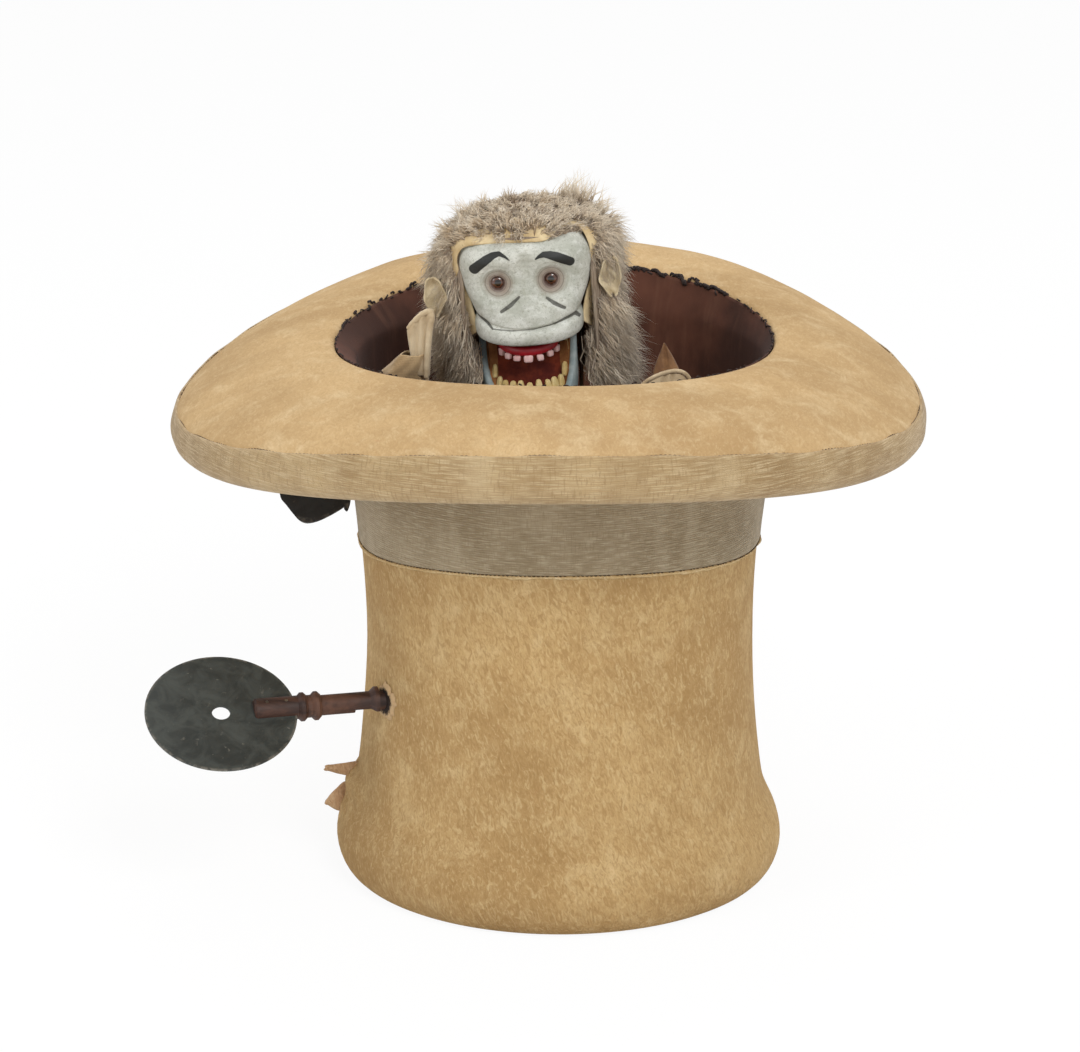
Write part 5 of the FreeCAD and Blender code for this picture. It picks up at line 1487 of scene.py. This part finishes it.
def side_locks(seed, count, low=379.0, high=482.0):
    """Longer fur that falls from the sides and the back of the head."""
    order = random.Random(seed)
    locks = []
    while len(locks) < count:
        angle = order.uniform(-math.pi, math.pi)
        height = order.uniform(low, high)
        x, ahead, height = on_hide(angle, height, hide_radius(height))
        if in_face_window(x, ahead, height + 2) or over_an_ear(x, height, ahead):
            continue
        out = Vector((x - hide_middle[0], ahead - hide_middle[1], 0.0)).normalized()
        way = out * 0.55 + Vector((0, 0, -0.5)) + Vector([order.gauss(0, 0.2) for _ in range(3)])
        flare = 1.3 if x > 40 and height < 430 else 1.0
        locks.append(((x, ahead, height), way, (out.x * 0.12, out.y * 0.12, -0.4),
                      order.uniform(14, 24) * flare, 2.0, 24))
    return locks


def cheek_locks(seed, count, side):
    """Fur that falls beside the face, from the leather's edge."""
    order = random.Random(seed)
    locks = []
    while len(locks) < count:
        drop = order.random()
        height = 488.0 - 100.0 * drop
        outward = 45.0 + 4.0 * math.sin(math.pi * min(drop * 1.5, 1.0)) + order.uniform(0, 9)
        if height < 424.0:
            outward -= 8.0 * min(1.0, (424.0 - height) / 12.0) * order.random()
        x = hide_middle[0] + side * outward + (-0.5 if side < 0 else 0.0)
        if over_an_ear(x, height, 1):
            continue
        ahead = order.uniform(2.0, 18.0) + 6.0 * drop
        way = Vector((side * (0.35 - 0.1 * drop), 0.25,
                      -0.7)) + Vector([order.gauss(0, 0.16) for _ in range(3)])
        hang = (side * 0.1, 0.0, -0.3) if side < 0 or height > 440 else (0.42, 0.0, -0.2)
        locks.append(((x, ahead, height), way, hang, order.uniform(16, 28), 1.9, 22))
    return locks


def fringe_locks(seed, count):
    """Short fur that starts from the leather's outer edge and hides it here and there."""
    order = random.Random(seed)
    locks = []
    while len(locks) < count:
        along = order.uniform(0.04, 0.97)
        x, ahead, height = hood_place(along, order.uniform(0.55, 1.0))
        out = Vector((x - hood_middle[0], 0.0, height - hood_middle[1])).normalized()
        top = max(0.0, min(1.0, (height - 478.0) / 12.0))
        way = out * (0.5 + 0.5 * top) + Vector((0, 0.3, -0.75 * (1 - top)))
        way += Vector([order.gauss(0, 0.2) for _ in range(3)])
        locks.append(((x, ahead + 0.3, height), way, (out.x * 0.1, -0.1, -0.25), order.uniform(8, 15), 1.5,
                      20))
    return locks


spikes = [((38.0, -12.0, 498.0), (0.22, 0.0, 1.0), (0.0, 0.0, 0.0), 28.0, 1.9, 70),
          ((44.0, -12.0, 496.0), (0.34, -0.1, 0.9), (0.1, 0.0, -0.1), 25.0, 2.3, 60),
          ((30.0, -16.0, 500.0), (0.35, -0.2, 1.0), (0.0, 0.0, -0.05), 22.0, 2.6, 50),
          ((51.0, -8.0, 492.0), (0.6, 0.0, 0.7), (0.1, 0.0, -0.2), 23.0, 2.4, 60),
          ((58.0, -6.0, 487.0), (0.85, 0.0, 0.5), (0.1, 0.0, -0.25), 20.0, 2.6, 60),
          ((60.0, -2.0, 476.0), (0.95, 0.0, 0.2), (0.1, 0.0, -0.3), 19.0, 2.6, 50),
          ((-36.0, -4.0, 493.0), (-0.35, 0.1, 0.9), (-0.05, 0.0, -0.1), 24.0, 1.9, 54),
          ((-46.0, -2.0, 486.0), (-0.75, 0.1, 0.6), (-0.05, 0.0, -0.1), 20.0, 2.2, 50),
          ((-54.0, 4.0, 474.0), (-0.95, 0.1, 0.2), (-0.05, 0.0, -0.2), 20.0, 2.4, 54),
          ((-56.0, 6.0, 462.0), (-0.95, 0.1, -0.1), (-0.05, 0.0, -0.4), 20.0, 2.4, 54),
          ((-22.0, -10.0, 500.0), (-0.2, 0.0, 0.95), (0.0, 0.0, -0.1), 17.0, 2.6, 44),
          ((-6.0, -8.0, 502.0), (-0.1, 0.0, 0.9), (0.0, 0.0, -0.1), 19.0, 2.0, 44),
          ((10.0, -8.0, 501.0), (0.1, 0.0, 0.9), (0.0, 0.0, -0.1), 16.0, 3.0, 44)]

fur_tone = fur_finish("grey_beige_fur", tone(174, 154, 132), tone(212, 194, 168), tone(234, 220, 198))
crown_fur = strands("crown_fur_strands", crown_locks(41, 590) + fringe_locks(48, 190) + spikes, 42)
dressed(crown_fur, "head", "fur", fur_tone)
side_fur = strands("side_fur_strands", side_locks(43, 640), 44)
dressed(side_fur, "head", "fur", fur_tone)
cheek_fur = strands("cheek_fur_strands", cheek_locks(45, 340, -1) + cheek_locks(46, 360, 1), 47)
dressed(cheek_fur, "head", "fur", fur_tone)

# ---------------------------------------------------------------- hands and sleeves

hand_finish = cloth_finish("pale_hand_felt", tone(218, 200, 168), tone(172, 148, 114), 0.9)
sleeve_finish = cloth_finish("khaki_sleeve_cloth", tone(202, 176, 136), tone(170, 142, 104), 1.2)
brown_finish = leather_finish("brown_finger_lining", tone(146, 108, 70), tone(106, 72, 44), tone(80, 52, 34))


def oriented(place, across, up):
    """A frame at a place: across, up and out as columns."""
    across, up = Vector(across).normalized(), Vector(up).normalized()
    out = across.cross(up).normalized()
    up = out.cross(across)
    way = Matrix((across, up, out)).transposed().to_4x4()
    way.translation = Vector(place)
    return way


def padded_leaf(name, outline, thick, way, grooves=()):
    """A thin stuffed leaf: outline in its own plane, swollen between its edges."""
    piece = added(name, bpy.ops.mesh.primitive_grid_add, x_subdivisions=16, y_subdivisions=26, size=2.0)
    rows = [tuple(row) for row in outline]
    for vertex in piece.data.vertices:
        up, left, right = between(rows, (vertex.co.y + 1) / 2)
        across = left + (right - left) * (vertex.co.x + 1) / 2
        swell = max(0.0, 1 - vertex.co.x ** 4) * max(0.0, 1 - (vertex.co.y) ** 6)
        swell = thick / 2 * swell ** 0.5
        for groove in grooves:
            swell -= 2.4 * near(across - groove[0] - groove[1] * up, 1.2) * max(0.0, 1 - vertex.co.y ** 4)
        vertex.co = Vector((across, up, swell))
    deselect()
    back = piece.copy()
    back.data = piece.data.copy()
    bpy.context.scene.collection.objects.link(back)
    for vertex in back.data.vertices:
        vertex.co.z = -vertex.co.z
    both = joined(name, [piece, back])
    editing(both)
    bpy.ops.mesh.select_all(action="SELECT")
    bpy.ops.mesh.remove_doubles(threshold=0.02)
    bpy.ops.mesh.normals_make_consistent(inside=False)
    done_editing()
    for vertex in both.data.vertices:
        vertex.co = (way @ vertex.co) * MM
    return round_shaded(both)


def roll_along(name, points, radius, way, steps=24):
    """A corded edge along points in a leaf's plane."""
    stations = []
    for step in range(steps + 1):
        middle = Vector(between(points, step / steps))
        ahead = Vector(between(points, min(1.0, (step + 0.5) / steps))) - Vector(
            between(points, max(0.0, (step - 0.5) / steps)))
        side = ahead.cross(Vector((0, 0, 1))).normalized()
        rise = side.cross(ahead).normalized()
        taper = 0.35 + 0.65 * math.sin(math.pi * min(1.0, max(0.0, 0.04 + 0.92 * step / steps))) ** 0.4
        taper *= 1 + 0.08 * math.sin(2.1 * step)

        def place(out, up, middle=middle, side=side, rise=rise, taper=taper):
            return (way @ (middle + side * out * taper + rise * up * taper)) * MM
        stations.append(place)
    section = [(radius * math.cos(turn), radius * math.sin(turn))
               for turn in (2 * math.pi * corner / 8 for corner in range(8))]
    return round_shaded(smoothed(bent_bar(name, section, stations), 1))


# left hand: a stuffed pointed mitten with a corded seam down its right side
left_way = oriented((-99.0, -84.0, 398.0), (1.0, -0.1, 0.0), (0.02, 0.0, 1.0))
mitten_outline = ((-6.0, -5.0, 8.0), (4.0, -5.4, 8.4), (14.0, -6.4, 9.0), (24.0, -7.8, 9.6),
                  (29.0, -7.6, 10.2),
                  (35.0, -2.6, 11.0), (39.5, 2.0, 11.2), (42.0, 5.0, 10.0), (42.6, 6.5, 8.5))
left_mitten = padded_leaf("left_hand_mitten", mitten_outline, 8.0, left_way, ((3.2, 0.06), (-1.8, 0.05)))
left_cord = roll_along("left_hand_cord", ((5.4, -6.0, 2.4), (6.2, 6.0, 3.0), (7.2, 18.0, 3.2),
                                          (8.4, 30.0, 3.0),
                                          (9.6, 37.0, 2.6), (8.6, 41.6, 1.8), (3.6, 40.0, 1.6),
                                          (-2.6, 34.4, 1.4), (-7.4, 28.6, 1.0)), 2.7, left_way, 40)
left_hand = joined("left_hand_mitten", [left_mitten, left_cord])
dressed(left_hand, "hat", "hand_felt", hand_finish, "left_hand")

right_way = oriented((74.5, -92.0, 391.0), (1.0, -0.05, 0.18), (-0.1, 0.25, 1.0))
finger_outline = ((-6.0, -10.0, 11.0), (2.0, -9.6, 10.6), (8.0, -8.8, 9.4), (14.0, -6.0, 7.6),
                  (20.0, -2.4, 5.4),
                  (25.0, 0.6, 3.4), (27.0, 1.6, 2.4))
right_finger = padded_leaf("right_hand_finger", finger_outline, 6.0, right_way, ((1.0, 0.06),))
right_finger.data.materials.append(brown_finish)
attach(right_finger, "hat")
cuff_way = oriented((73.5, -97.0, 386.5), (1.0, 0.0, 0.05), (0.0, 0.35, 1.0))
right_cord = roll_along("right_hand_cord", ((-21.0, -1.0, 0.0), (-14.0, 6.0, 1.0), (-4.0, 10.5, 2.0),
                                            (6.0, 12.5, 2.0), (13.0, 11.0, 1.5), (17.0, 6.0, 0.5),
                                            (16.0, 1.0, 0.0)), 1.7, cuff_way, 36)
palm_outline = ((-6.0, -16.0, 15.0), (0.0, -18.0, 16.0), (5.0, -13.0, 15.6), (9.0, -6.0, 13.0),
                (11.0, -1.0, 8.0))
right_palm = padded_leaf("right_hand_palm", palm_outline, 5.0, cuff_way, ((-2.0, 0.2), (6.0, -0.1)))
right_hand = joined("right_hand_mitten", [right_palm, right_cord])
dressed(right_hand, "hat", "hand_felt", hand_finish, "right_hand")


def sleeve_piece(name, path):
    """A loose cloth sleeve; path gives (x, y, height, radius)."""
    steps = 26
    rows = []
    for step in range(steps + 1):
        x, y, height, radius = between(path, step / steps)

        def line(angle, x=x, y=y, height=height, radius=radius, step=step):
            fold = 0.8 * math.sin(5 * angle + 0.35 * step) + 0.5 * math.sin(8 * angle - 0.6 * step)
            reach = radius + fold
            return Vector((x + reach * math.cos(angle), y + reach * math.sin(angle) * 0.9, height))
        rows.append(line)
    sleeve = ring_sheet(name, rows, 40)
    thickened(sleeve, 1.2)
    return round_shaded(smoothed(sleeve, 1))


left_sleeve = sleeve_piece("left_sleeve_cloth", ((-103.0, -52.0, 267.5, 15.0), (-105.0, -58.0, 310.0, 17.0),
                                                 (-110.0, -64.0, 356.0, 19.0), (-111.0, -67.0, 378.0, 20.0),
                                                 (-109.5, -71.0, 391.0, 17.5), (-105.0, -78.0, 401.0, 13.0),
                                                 (-102.0, -82.0, 409.0, 9.4)))
dressed(left_sleeve, "hat", "sleeve_cloth", sleeve_finish, "left_sleeve")
right_sleeve = sleeve_piece("right_sleeve_cloth", ((90.0, -52.0, 267.5, 15.0), (89.0, -60.0, 305.0, 16.0),
                                                   (86.0, -74.0, 345.0, 15.0), (81.0, -86.0, 372.0, 13.0),
                                                   (78.0, -91.0, 384.0, 10.5)))
dressed(right_sleeve, "hat", "sleeve_cloth", sleeve_finish, "right_sleeve")

# ---------------------------------------------------------------- finishes of the carried-over pieces

shaft_height, crank_azimuth, disc_centre = 147.0, math.radians(194.0), 224.7
disc_middle = (neck_x + disc_centre * math.cos(crank_azimuth), neck_y + disc_centre * math.sin(crank_azimuth),
               shaft_height)
lever_azimuth, lever_height, paddle_centre = math.radians(158.1), 284.0, 166.5
paddle_middle = (neck_x + paddle_centre * math.cos(lever_azimuth),
                 neck_y + paddle_centre * math.sin(lever_azimuth),
                 lever_height)
handle_wood = wood_finish("dark_handle_wood", tone(84, 56, 44), tone(48, 32, 27), 0.5, "X", 70.0,
                          tone(122, 86, 68))
board_wood = wood_finish("pale_inner_board", tone(178, 142, 98), tone(140, 104, 66), 0.75, "X", 45.0)
peg_wood = wood_finish("beech_pegs", tone(196, 160, 110), tone(160, 122, 78), 0.6, "Z", 80.0)
post_wood = wood_finish("waxed_post_wood", tone(120, 78, 50), tone(82, 50, 32), 0.5, "Z", 70.0)
dull_steel = metal_finish("dull_steel", tone(150, 146, 138), tone(104, 100, 94), tone(110, 76, 54), 0.42)
dull_brass = metal_finish("dull_brass", tone(176, 146, 88), tone(128, 100, 56), tone(96, 74, 46), 0.4)
card_finish = cloth_finish("shellacked_card", tone(140, 122, 92), tone(112, 94, 68), 2.0, 0.6)
felt_finish = cloth_finish("pressed_felt", tone(96, 84, 66), tone(72, 62, 48), 1.0, 0.95)
disc_finish = painted_plate_finish("scuffed_disc_paint", tone(56, 60, 58), tone(80, 84, 80),
                                   tone(130, 126, 116),
                                   disc_middle, 54.5)
black_finish = painted_plate_finish("satin_black_paint", tone(34, 35, 36), tone(50, 51, 52), tone(92, 88, 82),
                                    paddle_middle, 29.0, 0.7)
carried = {
    handle_wood: ("handle_front_half", "handle_back_half"),
    board_wood: ("base_board", "shoulder_ledge", "shoulder_board", "inner_bearing_board",
                 "outer_bearing_board",
                 "corner_blocks", "lever_bracket", "head_block"),
    peg_wood: ("lantern_flanges", "lantern_pegs", "crown_wheel", "wheel_pegs"),
    post_wood: ("neck_pedestal", "neck_post", "throw_collar", "lever_bush"),
    dull_steel: ("board_screws", "crank_shaft", "handle_rivets", "lantern_pin", "collar_pin", "wheel_pin",
                 "jaw_pin", "push_wire", "lever_shaft", "lever_finger"),
    dull_brass: ("neck_bush", "crank_bush", "shaft_collar", "jaw_horn"),
    card_finish: ("crown_shell", "brim_core"),
    felt_finish: ("base_felt",),
    disc_finish: ("crank_disc",),
    black_finish: ("jaw_paddle", "paddle_clamp"),
}
for material, names in carried.items():
    for name in names:
        nodes[name].data.materials.clear()
        nodes[name].data.materials.append(material)


def lever_spot(along, down, out):
    """Place on the jaw lever's blade: along its shaft, down its face, out of its plane."""
    axis = Vector((math.cos(lever_azimuth), math.sin(lever_azimuth), 0.0))
    side = Vector((0.0, 0.0, 1.0)).cross(axis)
    lean = math.radians(40.0)
    face = side * math.cos(lean) + Vector((0.0, 0.0, math.sin(lean)))
    fall = side * math.sin(lean) - Vector((0.0, 0.0, math.cos(lean)))
    return (Vector((neck_x, neck_y, lever_height)) + axis * along + fall * down + face * out) * MM


blade_points = ((166.0, -28.6), (177.0, -26.2), (186.0, -20.0), (192.5, -9.0), (194.2, 3.0), (190.6, 14.0),
                (184.6, 19.4),
                (178.0, 25.0), (171.0, 30.2), (164.4, 31.6), (156.5, 28.9), (147.8, 23.0), (140.4, 16.6),
                (139.6, 15.0),
                (138.0, 18.0), (136.0, 18.2), (135.6, 12.0), (137.0, 4.0), (138.0, -6.0), (143.0, -16.0),
                (151.0, -23.6), (158.0, -27.4), (166.0, -28.6))
blade_outline = [between(blade_points, step / 88) for step in range(88)]
blade = added("jaw_paddle_blade", bpy.ops.mesh.primitive_circle_add, vertices=88, radius=1.0,
              fill_type="NGON")
bpy.ops.object.mode_set(mode="EDIT")
bpy.ops.mesh.extrude_region_move(TRANSFORM_OT_translate={"value": (0, 0, 1)})
done_editing()
for vertex in blade.data.vertices:
    turn = math.atan2(vertex.co.y, vertex.co.x) % (2 * math.pi)
    along, down = blade_outline[round(turn / (2 * math.pi) * 88) % 88]
    vertex.co = lever_spot(along, down, 0.8 if vertex.co.z > 0.5 else -0.8)
facing_out(blade)
dressed(round_shaded(blade, 30), "jaw_lever", "black_paint", black_finish, "jaw_paddle")

crank_way = Vector((math.cos(crank_azimuth), math.sin(crank_azimuth), 0.0))
root = added("crank_root", bpy.ops.mesh.primitive_cylinder_add, vertices=32, radius=6.9 * MM, depth=15.0 * MM,
             location=(Vector((neck_x, neck_y, shaft_height)) + crank_way * 105.0) * MM,
             rotation=crank_way.to_track_quat("Z", "Y").to_euler())
seated(root)
dressed(round_shaded(root, 40), "crank", "turned_wood", handle_wood)

# ---------------------------------------------------------------- stage, lights and camera

def stage_finish(name, colour, share):
    """Pale matt floor that the camera sees nearly white and that still takes the shadow."""
    f = Finish(name)
    path = f.tree.nodes.new("ShaderNodeLightPath")
    seen = [Wire(f, path.outputs[key]) for key in ("Is Camera Ray", "Is Glossy Ray", "Is Transmission Ray")]
    factor = f.held(seen[0] + seen[1] + seen[2]) * share
    paper = f.node("BsdfDiffuse", {}, {"Color": colour, "Roughness": 1.0})
    glow = f.node("Emission", {}, {"Color": (1.0, 1.0, 1.0, 1.0), "Strength": 1.0})
    both = f.node("MixShader", {}, {0: factor, 1: paper, 2: glow})
    output = f.tree.nodes.new("ShaderNodeOutputMaterial")
    f.tree.links.new(both.socket, output.inputs["Surface"])
    return f.material


floor = added("studio_floor", bpy.ops.mesh.primitive_circle_add, vertices=96, radius=9.0, fill_type="NGON",
              location=(0, 0, -0.0005))
seated(floor)
floor.data.materials.append(stage_finish("studio_paper", (0.94, 0.94, 0.94, 1.0), 0.92))

world = bpy.data.worlds.new("studio_world")
bpy.context.scene.world = world
world.use_nodes = True
sky = world.node_tree
sky.nodes.clear()
light_path = sky.nodes.new("ShaderNodeLightPath")
add_rays = sky.nodes.new("ShaderNodeMath")
add_rays.operation = "ADD"
sky.links.new(light_path.outputs["Is Camera Ray"], add_rays.inputs[0])
sky.links.new(light_path.outputs["Is Transmission Ray"], add_rays.inputs[1])
backdrop_strength = sky.nodes.new("ShaderNodeMapRange")
sky.links.new(add_rays.outputs[0], backdrop_strength.inputs["Value"])
backdrop_strength.inputs["To Min"].default_value = 0.62
backdrop_strength.inputs["To Max"].default_value = 1.0
backdrop = sky.nodes.new("ShaderNodeBackground")
backdrop.inputs["Color"].default_value = (1.0, 1.0, 1.0, 1.0)
sky.links.new(backdrop_strength.outputs["Result"], backdrop.inputs["Strength"])
sky_out = sky.nodes.new("ShaderNodeOutputWorld")
sky.links.new(backdrop.outputs[0], sky_out.inputs["Surface"])


def lamp(name, place, target, size, power):
    """A soft square lamp that points at a place."""
    light = bpy.data.lights.new(name, "AREA")
    light.shape = "SQUARE"
    light.size = size
    light.energy = power
    holder = bpy.data.objects.new(name, light)
    bpy.context.scene.collection.objects.link(holder)
    holder.location = place
    holder.rotation_euler = (Vector(target) - Vector(place)).to_track_quat("-Z", "Y").to_euler()
    return holder


lamp("key_lamp", (1.0, -2.6, 2.4), (0, 0, 0.25), 1.2, 46.0)
lamp("fill_lamp", (-2.4, -1.8, 1.5), (0, 0, 0.25), 1.4, 16.0)
lamp("top_lamp", (0.2, 0.8, 2.8), (0, 0, 0.3), 1.4, 22.0)

camera_data = bpy.data.cameras.new("studio_camera")
camera_data.sensor_width = 36.0
camera_data.lens = 133.77
camera = bpy.data.objects.new("studio_camera", camera_data)
bpy.context.scene.collection.objects.link(camera)
camera.location = (-0.01425, -2.8, 1.103)
aim = Vector((-0.01425, 0.0, 0.258)) - camera.location
camera.rotation_euler = aim.to_track_quat("-Z", "Y").to_euler()
bpy.context.scene.camera = camera
bpy.context.scene.view_settings.view_transform = "Standard"
